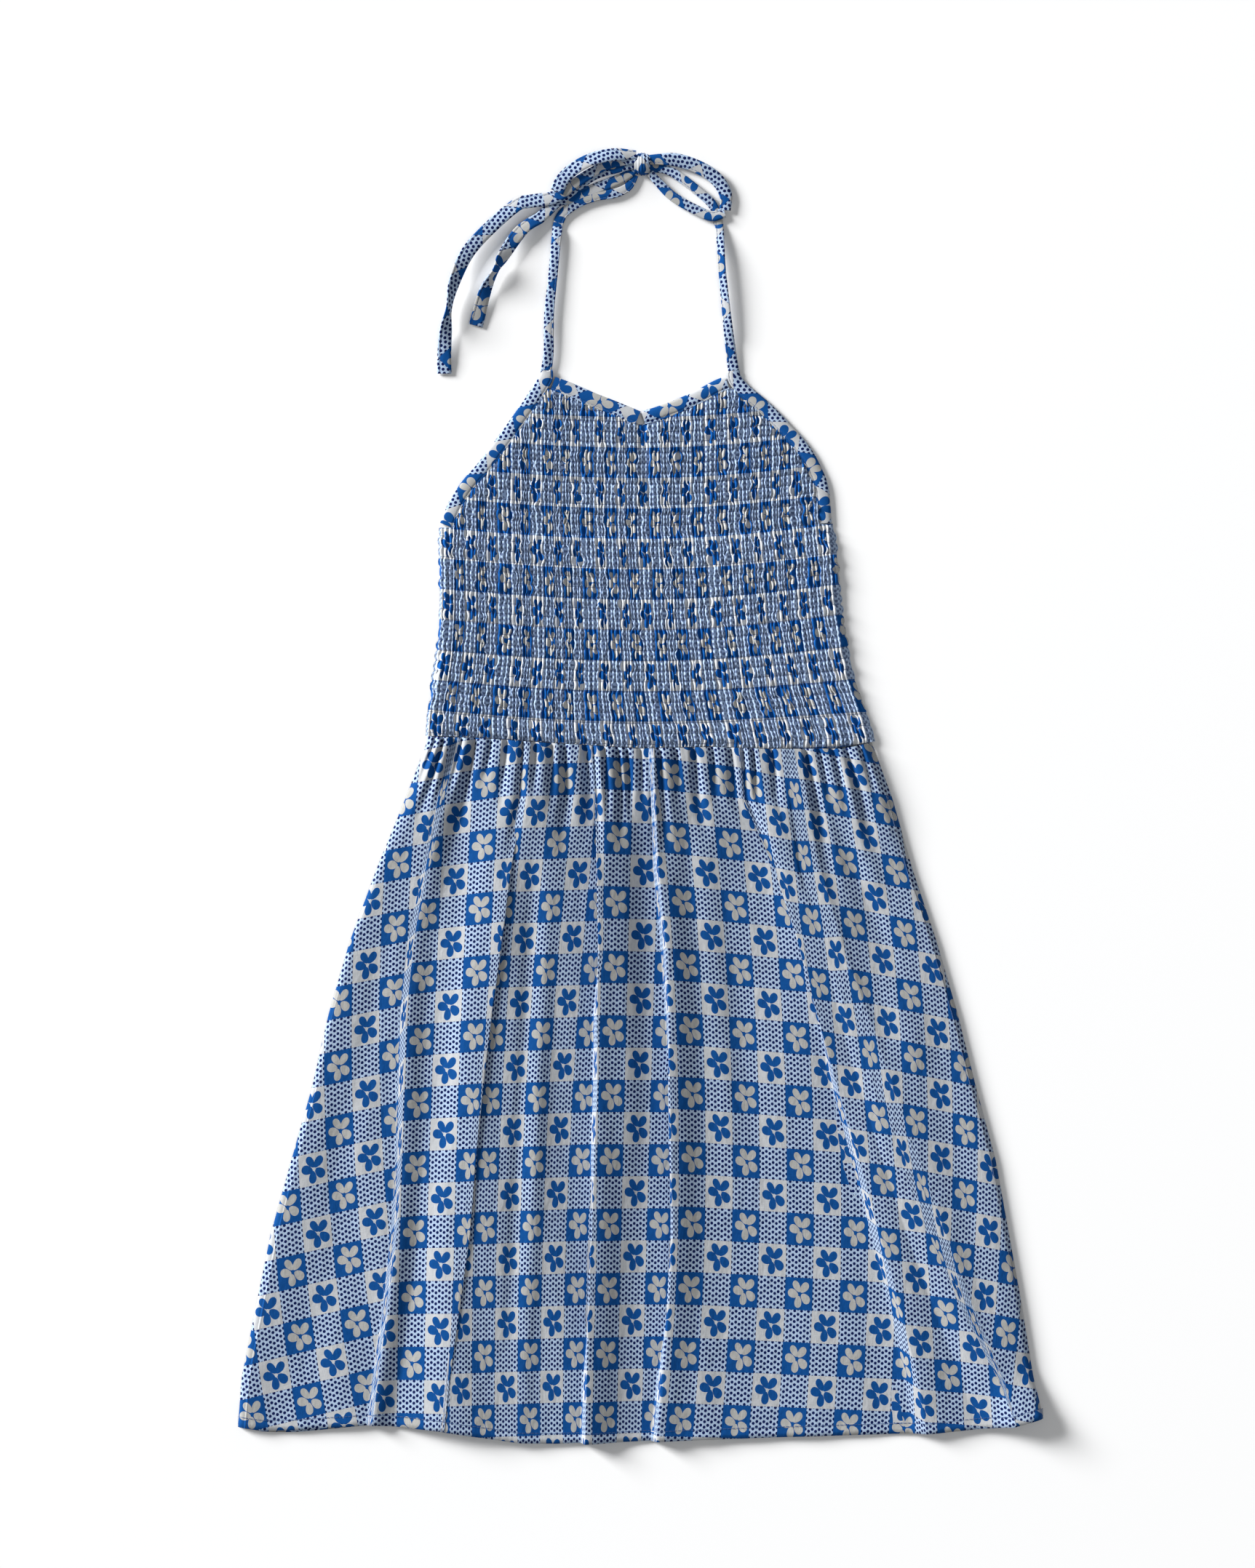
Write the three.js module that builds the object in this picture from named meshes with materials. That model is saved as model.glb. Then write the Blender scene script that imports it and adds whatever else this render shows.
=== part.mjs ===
// A girl's halter-neck sundress of printed cotton, laid flat with its front up.
// Millimetres, +Z up. The dress lies on z = 0, +Y points from the hem to the bow and +X to the wearer's left.
// The front panels lie on the back panels. Above the back's top edge the front lies on the surface itself.
import * as THREE from 'three';

// Driving dimensions
const CLOTH = 1.2; // wall of one layer of cloth
const SEAM_GAP = 0.3; // between pieces that are sewn or lie on each other
const TIE = { thick: 1.1 };
const BINDING = { width: 9.6, thick: 2.2, bevel: 0.9 };
const SHIRRING = {
  gathers: 112, rowPitch: 28, crest: 1.25, valley: 0.1, wander: 0.28, upright: 182, endShare: 0.45,
};
const BACK = { topEdge: 174, ramp: 8, inset: 0.8 };
const SKIRT = { gatherHeight: 2.6, gatherReach: 70, cornerCurl: 7, cornerReach: 42 };
const MITRE_STRETCH = 1.07; // a slanted end is longer than the binding's width
const FRONT_REST = CLOTH + SEAM_GAP; // the front's underside where it lies on the back

// Outlines, as x or y at stations down or along the edge
const ARMHOLE_LEFT = [
  { x: -69.8, y: 292.9 }, { x: -70.6, y: 289 }, { x: -79, y: 275.5 }, { x: -90.8, y: 258.5 },
  { x: -109.8, y: 232.5 }, { x: -122.8, y: 217.5 }, { x: -132.2, y: 203 }, { x: -138.7, y: 188 },
];
const ARMHOLE_RIGHT = [
  { x: 67, y: 292.9 }, { x: 67.8, y: 289 }, { x: 73.8, y: 282 }, { x: 86.8, y: 271 }, { x: 99.2, y: 258.5 },
  { x: 114.2, y: 241.5 }, { x: 122.8, y: 226.5 }, { x: 128.2, y: 211.5 }, { x: 130.2, y: 188 },
];
const NECKLINE_LEFT = [
  { x: -59.4, y: 288.3 }, { x: -46.8, y: 283.5 }, { x: -30.8, y: 276.5 }, { x: -17.8, y: 271.5 },
  { x: -1, y: 264.5 },
];
const NECKLINE_RIGHT = [
  { x: -0.6, y: 264.5 }, { x: 9.2, y: 267.5 }, { x: 22.8, y: 272.5 }, { x: 36.2, y: 278.5 },
  { x: 49.2, y: 285.5 }, { x: 56.6, y: 288.5 },
];
const BODICE_SIDES = [
  { y: 188, left: -138.7, right: 130.2 },
  { y: 158, left: -138.9, right: 133.8 },
  { y: 120, left: -138.9, right: 136.4 },
  { y: 92, left: -140.8, right: 141.6 },
  { y: 72, left: -144.4, right: 146.4 },
  { y: 51, left: -147.4, right: 154.6 },
  { y: 38, left: -148.3, right: 159.2 },
];
const WAIST = [
  { x: -148.3, y: 41.5 }, { x: -115.8, y: 40.5 }, { x: -79.8, y: 38 }, { x: -49.2, y: 36 },
  { x: -1.2, y: 33 }, { x: 47.2, y: 34.2 }, { x: 83.8, y: 32.8 }, { x: 132.2, y: 33 }, { x: 159.2, y: 37.5 },
];
const HEM = [
  { x: -278.2, y: -433 }, { x: -260, y: -435.6 }, { x: -239, y: -435.2 }, { x: -184, y: -431.6 },
  { x: -136.8, y: -435.5 }, { x: -81.2, y: -444 }, { x: -56.2, y: -444.5 }, { x: 98.8, y: -440 },
  { x: 198.2, y: -437.5 }, { x: 257.8, y: -432 }, { x: 278.2, y: -426 },
];

// Where each long fold of the front skirt runs: its x at these heights, from the waist to the hem.
// lift is its height at those heights, over names the side whose edge lies on top, spread is its width.
const FOLD_LEVELS = [38, 0, -50, -100, -150, -200, -250, -300, -350, -400, -440];
const SIDE_LEFT = [-147.5, -162, -182.5, -201, -215.5, -226.8, -241, -255, -265.2, -275.2, -278.8];
const SIDE_RIGHT = [157.4, 171.6, 185.8, 202.5, 217, 229.5, 243, 252, 261, 269, 283.2];
const FOLDS = [
  {
    name: 'A', over: 'right', spread: 14,
    course: [-125, -135, -146, -156, -162, -164, -165, -168, -174, -181, -186],
    lift: [2, 2.5, 3, 3, 3.5, 3.5, 4, 4.5, 5.5, 6.5, 7],
  },
  {
    name: 'B', over: 'left', spread: 28,
    course: [-80, -81, -90, -96, -103, -109, -114, -118, -125, -132, -136],
    lift: [2, 3, 5, 6, 6, 6, 6, 6, 5.5, 5, 5],
  },
  {
    name: 'C', over: 'right', spread: 26,
    course: [-35, -32, -31, -30, -31, -31, -33, -35, -37, -38, -39],
    lift: [2, 3, 4, 5, 5, 5, 5, 5, 4, 3, 2.5],
  },
  {
    name: 'D', over: 'right', spread: 20,
    course: [7, 9, 11, 16, 18, 18, 19, 20, 17, 13, 10],
    lift: [2, 3, 4, 5, 5, 5, 5, 4.5, 4, 3.5, 3],
  },
  {
    name: 'E', over: 'right', spread: 26,
    course: [66, 69, 91, 107, 120, 134, 149, 163, 177, 189, 196],
    lift: [3, 5, 6, 7, 7, 7, 7, 7, 7, 6, 6],
  },
  {
    name: 'F', over: 'left', spread: 30,
    course: [101, 107, 115, 130, 148, 166, 184, 202, 223, 248, 262],
    lift: [2, 3, 4, 5, 6, 6, 6, 7, 8, 9, 9],
  },
];

// The stretches of the two ties. z is the tie's underside and w its width there.
const TIE_PATHS = {
  tie_left_strap: [
    { x: -65.9, y: 292.7, z: 0, w: 7.4 }, { x: -64.2, y: 305.5, z: 0, w: 6.8 },
    { x: -63.8, y: 331.5, z: 0, w: 6.8 }, { x: -61.2, y: 357.5, z: 0, w: 6.4 },
    { x: -58.8, y: 383, z: 0, w: 6.6 }, { x: -58, y: 391, z: 0, w: 7 },
  ],
  tie_left_top: [
    { x: -57.9, y: 392.1, z: 0, w: 7.2 }, { x: -56.4, y: 397, z: 0, w: 7.2 },
    { x: -51.8, y: 402.8, z: 0, w: 7 }, { x: -41.2, y: 409, z: 0, w: 6.5 },
    { x: -29.8, y: 412.5, z: 0, w: 6.5 }, { x: -18.2, y: 414.5, z: 0, w: 6.5 },
    { x: -9.5, y: 419, z: 0, w: 6 }, { x: -4.6, y: 427.4, z: 0, w: 5 },
  ],
  bow_loop_left_upper: [
    { x: -6, y: 440.2, z: 6.4, w: 7 }, { x: -18, y: 440, z: 6.1, w: 9 },
    { x: -32.2, y: 437.4, z: 6, w: 9.4 }, { x: -45.2, y: 431.2, z: 6, w: 9.4 },
    { x: -54, y: 423.5, z: 6, w: 9.4 }, { x: -58.6, y: 414.6, z: 6, w: 9.6 },
  ],
  bow_loop_left_lower: [
    { x: -7.6, y: 429.4, z: 1.5, w: 5.6 }, { x: -14, y: 424.6, z: 1.5, w: 7 },
    { x: -29.8, y: 418.2, z: 1.5, w: 8 }, { x: -45, y: 412.4, z: 1.5, w: 8.6 },
    { x: -57, y: 409.8, z: 1.5, w: 9 },
  ],
  tie_end_short_inner: [
    { x: -6.6, y: 433.6, z: 3.2, w: 5 }, { x: -18.2, y: 430.8, z: 3.2, w: 6.4 },
    { x: -32, y: 427, z: 3, w: 7 }, { x: -44, y: 419.5, z: 3, w: 7.6 },
    { x: -56, y: 410.4, z: 3, w: 8 }, { x: -62.4, y: 404.6, z: 3, w: 8 },
  ],
  tie_end_long_inner: [
    { x: -6.6, y: 436.8, z: 5, w: 5 }, { x: -22, y: 434, z: 4.7, w: 6.4 },
    { x: -34, y: 428.4, z: 4.6, w: 7 }, { x: -46, y: 420.6, z: 4.5, w: 7.6 },
    { x: -58, y: 412, z: 4.5, w: 9 }, { x: -66.4, y: 409.6, z: 4.1, w: 9.2 },
  ],
  tie_end_long: [
    { x: -67.6, y: 409.4, z: 4, w: 9.2 }, { x: -77.2, y: 408.4, z: 1.4, w: 9.4 },
    { x: -86.2, y: 405.8, z: 0, w: 9.5 }, { x: -104.8, y: 390, z: 0, w: 9.5 },
    { x: -120.2, y: 372.5, z: 0, w: 9.5 }, { x: -129.2, y: 352, z: 0, w: 8.6 },
    { x: -132.8, y: 335, z: 0, w: 5.6 }, { x: -134.8, y: 320, z: 0, w: 8.6 },
    { x: -135.8, y: 304, z: 0, w: 9.6 }, { x: -135.8, y: 290.5, z: 0, w: 9.8 },
  ],
  tie_end_short: [
    { x: -64, y: 403.4, z: 2.6, w: 8 }, { x: -70, y: 397.4, z: 0.6, w: 8 },
    { x: -78.4, y: 392.2, z: 0, w: 8.2 }, { x: -86, y: 384.8, z: 0, w: 9.2 },
    { x: -96.2, y: 369.5, z: 0, w: 8.4 }, { x: -100.8, y: 361, z: 0, w: 5.6 },
    { x: -107.8, y: 347, z: 0, w: 8.6 }, { x: -114.2, y: 323.5, z: 0, w: 9.8 },
  ],
  tie_right_strap: [
    { x: 53, y: 392.6, z: 0, w: 5.6 }, { x: 54.2, y: 378, z: 0, w: 5.4 },
    { x: 55.2, y: 360.5, z: 0, w: 5.4 }, { x: 58.8, y: 324.5, z: 0, w: 6.4 },
    { x: 60.4, y: 310.5, z: 0, w: 6.8 }, { x: 62.9, y: 292.7, z: 0, w: 7.4 },
  ],
  tie_right_top: [
    { x: 6.2, y: 431.2, z: 0, w: 5 }, { x: 17, y: 430.4, z: 0, w: 6 },
    { x: 27.2, y: 424.6, z: 0, w: 6.4 }, { x: 38.8, y: 415.5, z: 0, w: 6.4 },
    { x: 47.6, y: 407.5, z: 0, w: 6.4 }, { x: 51.6, y: 399.5, z: 0, w: 6 },
    { x: 52.8, y: 393.3, z: 0, w: 5.8 },
  ],
  bow_loop_right_upper: [
    { x: 6.2, y: 437.4, z: 1.6, w: 7 }, { x: 22.2, y: 437.2, z: 1.5, w: 9 },
    { x: 38, y: 432.4, z: 1.5, w: 9 }, { x: 50.6, y: 424.5, z: 1.2, w: 9 },
    { x: 57.4, y: 413.5, z: 1.4, w: 8.6 }, { x: 57.2, y: 403.5, z: 1.5, w: 7.6 },
  ],
  bow_loop_right_lower: [
    { x: 55.6, y: 399.8, z: 1.5, w: 7 }, { x: 47.8, y: 398.6, z: 1.5, w: 7 },
    { x: 34.8, y: 404, z: 1.4, w: 6.6 }, { x: 21.2, y: 412, z: 1.4, w: 6.4 },
    { x: 12.8, y: 420, z: 1.4, w: 6 }, { x: 7.4, y: 426, z: 1.5, w: 5 },
  ],
};
const KNOT = { x: 0, y: 434.4, length: 10.6, width: 15.4, height: 7.4 };

const cotton = (hex) => new THREE.MeshStandardMaterial({ color: hex, roughness: 0.85, metalness: 0 });
const PRINT_BLUE = 0x6f92c8;
const BINDING_BLUE = 0x8aa6d0;
const BACK_BLUE = 0x7f9acb;

// A value between the rows of a table, linear in the key column.
function between(table, key, value, at) {
  const sorted = [...table].sort((a, b) => a[key] - b[key]);
  if (at <= sorted[0][key]) return sorted[0][value];
  for (let i = 1; i < sorted.length; i += 1) {
    const [low, high] = [sorted[i - 1], sorted[i]];
    if (at <= high[key]) {
      const share = (at - low[key]) / (high[key] - low[key]);
      return low[value] + (high[value] - low[value]) * share;
    }
  }
  return sorted[sorted.length - 1][value];
}

// A list of numbers given at FOLD_LEVELS, read at any height.
function atLevel(numbers, y) {
  return between(FOLD_LEVELS.map((level, i) => ({ level, value: numbers[i] })), 'level', 'value', y);
}

const smoothStep = (low, high, value) => {
  const t = Math.min(1, Math.max(0, (value - low) / (high - low)));
  return t * t * (3 - 2 * t);
};

// A repeatable number from -1 to 1 for a pair of counts, so that no two gathers are alike.
function uneven(a, b) {
  const wave = Math.sin(a * 12.9898 + b * 78.233) * 43758.5453;
  return 2 * (wave - Math.floor(wave)) - 1;
}

// One closed body, put together from strips between lines of points.
class Body {
  constructor() {
    this.positions = [];
    this.triangles = [];
  }

  line(points) {
    return points.map((p) => {
      this.positions.push(p.x, p.y, p.z);
      return { ...p, id: this.positions.length / 3 - 1 };
    });
  }

  // Fills the strip between two lines. Its outside faces along (line direction) x (first to second).
  strip(first, second, along) {
    let [i, j] = [0, 0];
    while (i < first.length - 1 || j < second.length - 1) {
      const canI = i < first.length - 1;
      const canJ = j < second.length - 1;
      const nextI = canI ? along(first[i + 1]) + along(first[i]) : Infinity;
      const nextJ = canJ ? along(second[j + 1]) + along(second[j]) : Infinity;
      if (nextI <= nextJ) {
        this.face(first[i], first[i + 1], second[j]);
        i += 1;
      } else {
        this.face(first[i], second[j + 1], second[j]);
        j += 1;
      }
    }
  }

  face(a, b, c) {
    if (a.id !== b.id && b.id !== c.id && a.id !== c.id) this.triangles.push(a.id, b.id, c.id);
  }

  // Quads between two rings of equal length that run counterclockwise seen from the end.
  ringPair(near, far) {
    near.forEach((p, k) => {
      const next = (k + 1) % near.length;
      this.face(p, near[next], far[next]);
      this.face(p, far[next], far[k]);
    });
  }

  cap(ring, atEnd) {
    for (let k = 1; k < ring.length - 1; k += 1) {
      if (atEnd) this.face(ring[0], ring[k], ring[k + 1]);
      else this.face(ring[0], ring[k + 1], ring[k]);
    }
  }

  mesh(name, material) {
    const geometry = new THREE.BufferGeometry();
    geometry.setAttribute('position', new THREE.Float32BufferAttribute(this.positions, 3));
    geometry.setIndex(this.triangles);
    geometry.computeVertexNormals();
    const mesh = new THREE.Mesh(geometry, material);
    mesh.name = name;
    return mesh;
  }
}

const byX = (p) => p.x;
const downY = (p) => -p.y;

// A wall between an upper and a lower grid. Each grid is a list of rows from left to right, top row first.
function gridWall(name, upper, lower, material) {
  const body = new Body();
  const top = upper.map((row) => body.line(row));
  const under = lower.map((row) => body.line(row));
  for (let r = 1; r < top.length; r += 1) {
    body.strip(top[r], top[r - 1], byX);
    body.strip(under[r - 1], under[r], byX);
  }
  const last = top.length - 1;
  const column = (rows, end) => rows.map((row) => row[end === 'left' ? 0 : row.length - 1]);
  body.strip(column(under, 'left'), column(top, 'left'), downY);
  body.strip(column(top, 'right'), column(under, 'right'), downY);
  body.strip(top[0], under[0], byX);
  body.strip(under[last], top[last], byX);
  return body.mesh(name, material);
}

// Points along a table of stations on a smooth curve, with the station's other columns carried along.
function alongCurve(stations, steps) {
  const curve = new THREE.CatmullRomCurve3(
    stations.map((s) => new THREE.Vector3(s.x, s.y, s.z ?? 0)), false, 'centripetal',
  );
  const numbers = (key, t) => {
    const place = t * (stations.length - 1);
    const i = Math.min(stations.length - 2, Math.floor(place));
    return (stations[i][key] ?? 0) * (i + 1 - place) + (stations[i + 1][key] ?? 0) * (place - i);
  };
  return Array.from({ length: steps + 1 }, (_, k) => {
    const t = k / steps;
    const point = curve.getPoint(t);
    const tangent = curve.getTangent(t);
    point.z = numbers('z', t);
    return { point, tangent, width: numbers('w', t) };
  });
}

// A flat tie: a thin section carried along its path, with its edges softened.
function tieStretch(name, stations) {
  const body = new Body();
  const rings = alongCurve(stations, 2 * (stations.length - 1)).map(({ point, tangent, width }) => {
    const side = new THREE.Vector3(tangent.y, -tangent.x, 0).normalize();
    const half = width / 2;
    const bevel = TIE.thick / 3;
    const section = [
      [-half, 0], [half, 0], [half, TIE.thick - bevel], [half - bevel, TIE.thick],
      [-half + bevel, TIE.thick], [-half, TIE.thick - bevel],
    ];
    return body.line(section.map(([across, height]) => ({
      x: point.x + side.x * across, y: point.y + side.y * across, z: point.z + height,
    })));
  });
  for (let k = 1; k < rings.length; k += 1) body.ringPair(rings[k], rings[k - 1]);
  body.cap(rings[0], true);
  body.cap(rings[rings.length - 1], false);
  return body.mesh(name, cotton(BINDING_BLUE));
}

// A bias binding on a curved edge: it wraps the edge, so its section has a rounded outer edge.
// startWidth is its share of the full width at its start. mitre names the end that is cut straight down the V.
function edgeBinding(name, edge, inward, { startWidth = 1, mitre = 'none' } = {}) {
  const body = new Body();
  const { width, thick, bevel } = BINDING;
  const samples = alongCurve(edge, 2 * (edge.length - 1));
  const last = samples.length - 1;
  const rings = samples.map(({ point, tangent }, k) => {
    const here = width * Math.min(1, startWidth + (1.5 * k) / last);
    const mitred = (mitre === 'start' && k === 0) || (mitre === 'end' && k === last);
    const side = mitred
      ? new THREE.Vector3(0, -MITRE_STRETCH, 0)
      : new THREE.Vector3(-tangent.y, tangent.x, 0).normalize().multiplyScalar(inward);
    const section = [
      [0, 0], [here, 0], [here, thick - bevel / 2], [here - bevel / 2, thick], [bevel, thick], [0, thick - bevel],
    ];
    const ring = section.map(([across, height]) => ({
      x: point.x + side.x * across, y: point.y + side.y * across, z: height,
    }));
    return body.line(inward > 0 ? ring : ring.reverse());
  });
  for (let k = 1; k < rings.length; k += 1) body.ringPair(rings[k - 1], rings[k]);
  body.cap(rings[0], false);
  body.cap(rings[rings.length - 1], true);
  return body.mesh(name, cotton(BINDING_BLUE));
}

// The edge where the shirred panel meets its bindings: the outline moved in by the binding's width.
function movedIn(edge, inward, distance) {
  return alongCurve(edge, 5 * (edge.length - 1)).map(({ point, tangent }) => ({
    x: point.x - tangent.y * inward * distance,
    y: point.y + tangent.x * inward * distance,
  }));
}

// How high the underside of the front lies: on the surface above the back's top edge, on the back below it.
const frontRest = (y) => FRONT_REST * smoothStep(BACK.topEdge + SEAM_GAP + BACK.ramp, BACK.topEdge + SEAM_GAP, y);

function frontBodice() {
  const inset = BINDING.width + 2 * SEAM_GAP;
  const roundTheEnd = (edge, inward) => {
    const inner = movedIn(edge, inward, inset);
    const { point, tangent } = alongCurve(edge, 1)[1];
    const past = (p) => ({ x: p.x + 2 * SEAM_GAP * tangent.x, y: p.y + 2 * SEAM_GAP * tangent.y });
    return [...inner, past(inner[inner.length - 1]), past(point)];
  };
  const armLeft = roundTheEnd(ARMHOLE_LEFT, 1);
  const armRight = roundTheEnd(ARMHOLE_RIGHT, -1);
  const vPoint = { x: NECKLINE_RIGHT[0].x, y: NECKLINE_RIGHT[0].y - inset * MITRE_STRETCH };
  const neck = [...movedIn(NECKLINE_LEFT, -1, inset), vPoint, ...movedIn(NECKLINE_RIGHT, -1, inset)];
  const topY = (x) => Math.min(...[neck, armLeft, armRight].map((edge) => between(edge, 'x', 'y', x)));
  const columns = 2 * SHIRRING.gathers;
  const [endLeft, endRight] = [armLeft, armRight].map((edge) => edge[edge.length - 1]);
  const [leftTop, rightTop] = [endLeft.x, endRight.x];
  const sideX = (y, side) => between(BODICE_SIDES, 'y', side, y);
  const outer = [];
  for (let i = 0; i <= columns; i += 1) {
    const across = i / columns;
    const topX = leftTop + (rightTop - leftTop) * across;
    const top = topY(topX);
    const waistX = WAIST[0].x + (WAIST[WAIST.length - 1].x - WAIST[0].x) * across;
    const waist = between(WAIST, 'x', 'y', waistX) + SEAM_GAP;
    const heights = [top];
    const first = Math.floor((top - 0.35 * SHIRRING.rowPitch) / SHIRRING.rowPitch);
    for (let row = first; row * SHIRRING.rowPitch > waist + 0.35 * SHIRRING.rowPitch; row -= 1) {
      heights.push(row * SHIRRING.rowPitch);
    }
    heights.push(waist);
    const edge = i === 0 || i === columns;
    outer.push(heights.map((y, level) => {
      // A gather runs straight down to the underarm and leans outwards below it.
      const lean = Math.max(0, (SHIRRING.upright - y) / (SHIRRING.upright - waist));
      const bulge = (side, end) => (
        y < SHIRRING.upright ? sideX(y, side) - (end.x + (sideX(waist, side) - end.x) * lean) : 0
      );
      const pull = bulge('left', endLeft) * (1 - across) + bulge('right', endRight) * across;
      const ends = level === 0 || level === heights.length - 1;
      const row = Math.round(y / SHIRRING.rowPitch);
      const sway = ends || edge ? 0 : SHIRRING.wander * uneven(Math.floor(i / 2), row);
      const height = i % 2 === 0 ? SHIRRING.valley : SHIRRING.crest * (0.75 + 0.35 * uneven(i, row));
      const gathered = ends ? SHIRRING.endShare * height : height;
      return {
        x: topX + (waistX - topX) * lean + pull + sway,
        y,
        z: frontRest(y) + CLOTH + gathered,
      };
    }));
  }

  const body = new Body();
  const columnLines = outer.map((points) => body.line(points));
  for (let i = 1; i <= columns; i += 1) body.strip(columnLines[i - 1], columnLines[i], downY);
  const topRow = columnLines.map((line) => line[0]);
  const waistRow = columnLines.map((line) => line[line.length - 1]);
  const below = (row) => body.line(row.map((p) => ({ x: p.x, y: p.y, z: frontRest(p.y) })));
  const insideTop = below(topRow);
  const insideWaist = below(waistRow);
  const coarse = 8;
  const crossing = (y) => body.line(Array.from({ length: coarse + 1 }, (_, k) => {
    const [left, right] = [sideX(y, 'left'), sideX(y, 'right')];
    return { x: left + ((right - left) * k) / coarse, y, z: frontRest(y) };
  }));
  const rampTop = crossing(BACK.topEdge + SEAM_GAP + BACK.ramp);
  const rampFoot = crossing(BACK.topEdge + SEAM_GAP);
  body.strip(insideTop, rampTop, byX);
  body.strip(rampTop, rampFoot, byX);
  body.strip(rampFoot, insideWaist, byX);
  const insideSide = (pick) => [pick(insideTop), pick(rampTop), pick(rampFoot), pick(insideWaist)];
  const firstOf = (row) => row[0];
  const lastOf = (row) => row[row.length - 1];
  body.strip(insideSide(firstOf), columnLines[0], downY);
  body.strip(columnLines[columns], insideSide(lastOf), downY);
  body.strip(topRow, insideTop, byX);
  body.strip(insideWaist, waistRow, byX);
  return body.mesh('front_bodice', cotton(PRINT_BLUE));
}

function backBodice() {
  const rows = [BACK.topEdge, 150, 120, 92, 72, 51, null];
  const columns = 16;
  const grid = (z) => rows.map((level) => Array.from({ length: columns + 1 }, (_, k) => {
    const at = level ?? 38;
    const left = between(BODICE_SIDES, 'y', 'left', at) + BACK.inset;
    const right = between(BODICE_SIDES, 'y', 'right', at) - BACK.inset;
    const x = left + ((right - left) * k) / columns;
    return { x, y: level ?? between(WAIST, 'x', 'y', x) + SEAM_GAP, z };
  }));
  return gridWall('back_bodice', grid(CLOTH), grid(0), cotton(BACK_BLUE));
}

// Columns of the skirt between its guides: the two sides and the folds. They crowd towards each fold.
const COLUMN_SHARES = [0, 0.07, 0.16, 0.27, 0.39, 0.5, 0.61, 0.73, 0.84, 0.93];
const SKIRT_ROWS = [0, 0.03, 0.07, 0.13, 0.21, 0.3, 0.4, 0.5, 0.6, 0.7, 0.8, 0.9, 0.985, 1];

function skirtColumns() {
  const guides = [SIDE_LEFT, ...FOLDS.map((fold) => fold.course), SIDE_RIGHT];
  const columns = [];
  for (let g = 0; g < guides.length - 1; g += 1) {
    COLUMN_SHARES.forEach((share) => columns.push({ left: guides[g], right: guides[g + 1], share }));
  }
  columns.push({ left: SIDE_RIGHT, right: SIDE_RIGHT, share: 0 });
  return columns;
}

const columnX = (column, y) => {
  const left = atLevel(column.left, y);
  return left + (atLevel(column.right, y) - left) * column.share;
};

// Height of the front skirt over its rest: a lip on the fold's upper side that sinks away from the fold.
function foldHeight(x, y) {
  return FOLDS.reduce((height, fold) => {
    const away = (x - atLevel(fold.course, y)) * (fold.over === 'right' ? 1 : -1);
    const lift = atLevel(fold.lift, y);
    const reach = fold.spread * 1.3;
    const shape = away >= 0
      ? (1 - smoothStep(0, reach, away)) * smoothStep(-2.2, 1.4, away)
      : 0.16 * smoothStep(-fold.spread, -2.2, away) * (1 - smoothStep(-2.4, 0, away));
    return Math.max(height, lift * shape);
  }, 0);
}

function skirtFront() {
  const columns = skirtColumns();
  const upper = SKIRT_ROWS.map((share) => columns.map((column, i) => {
    const waistX = columnX(column, FOLD_LEVELS[0]);
    const hemX = columnX(column, FOLD_LEVELS[FOLD_LEVELS.length - 1]);
    const waist = between(WAIST, 'x', 'y', waistX) - SEAM_GAP;
    const hem = between(HEM, 'x', 'y', hemX);
    const y = waist + (hem - waist) * share;
    const x = columnX(column, y);
    const sideGap = Math.min(x - atLevel(SIDE_LEFT, y), atLevel(SIDE_RIGHT, y) - x);
    const settle = smoothStep(0, 12, sideGap);
    const gatherFade = 1 - smoothStep(0, SKIRT.gatherReach * (0.8 + 0.3 * uneven(i, 3)), waist - y);
    const gather = i % 2 === 1 ? SKIRT.gatherHeight * gatherFade * (0.85 + 0.25 * uneven(i, 7)) : 0;
    const corner = HEM[HEM.length - 1];
    const curl = SKIRT.cornerCurl * (1 - smoothStep(0, SKIRT.cornerReach, Math.hypot(x - corner.x, y - corner.y)));
    return { x, y, z: FRONT_REST + CLOTH + settle * (foldHeight(x, y) + gather) + curl };
  }));
  const lower = upper.map((row) => row.map((p) => ({ ...p, z: p.z - CLOTH })));
  return gridWall('skirt_front', upper, lower, cotton(PRINT_BLUE));
}

function skirtBack() {
  const shares = [0, 0.12, 0.25, 0.4, 0.55, 0.7, 0.85, 1];
  const columns = 24;
  const ends = [FOLD_LEVELS[0], FOLD_LEVELS[FOLD_LEVELS.length - 1]];
  const grid = (z) => shares.map((share) => Array.from({ length: columns + 1 }, (_, k) => {
    const column = { left: SIDE_LEFT, right: SIDE_RIGHT, share: k / columns };
    const [waistX, hemX] = ends.map((level) => columnX(column, level));
    const waist = between(WAIST, 'x', 'y', waistX) - SEAM_GAP;
    const peep = 2.4 * (1 - smoothStep(0, 0.16, Math.abs(column.share - 0.07)));
    const hem = between(HEM, 'x', 'y', hemX) + 0.8 - peep;
    const y = waist + (hem - waist) * share;
    const tuck = BACK.inset * (1 - 2 * column.share);
    return { x: columnX(column, y) + tuck, y, z };
  }));
  return gridWall('skirt_back', grid(CLOTH), grid(0), cotton(BACK_BLUE));
}

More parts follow.
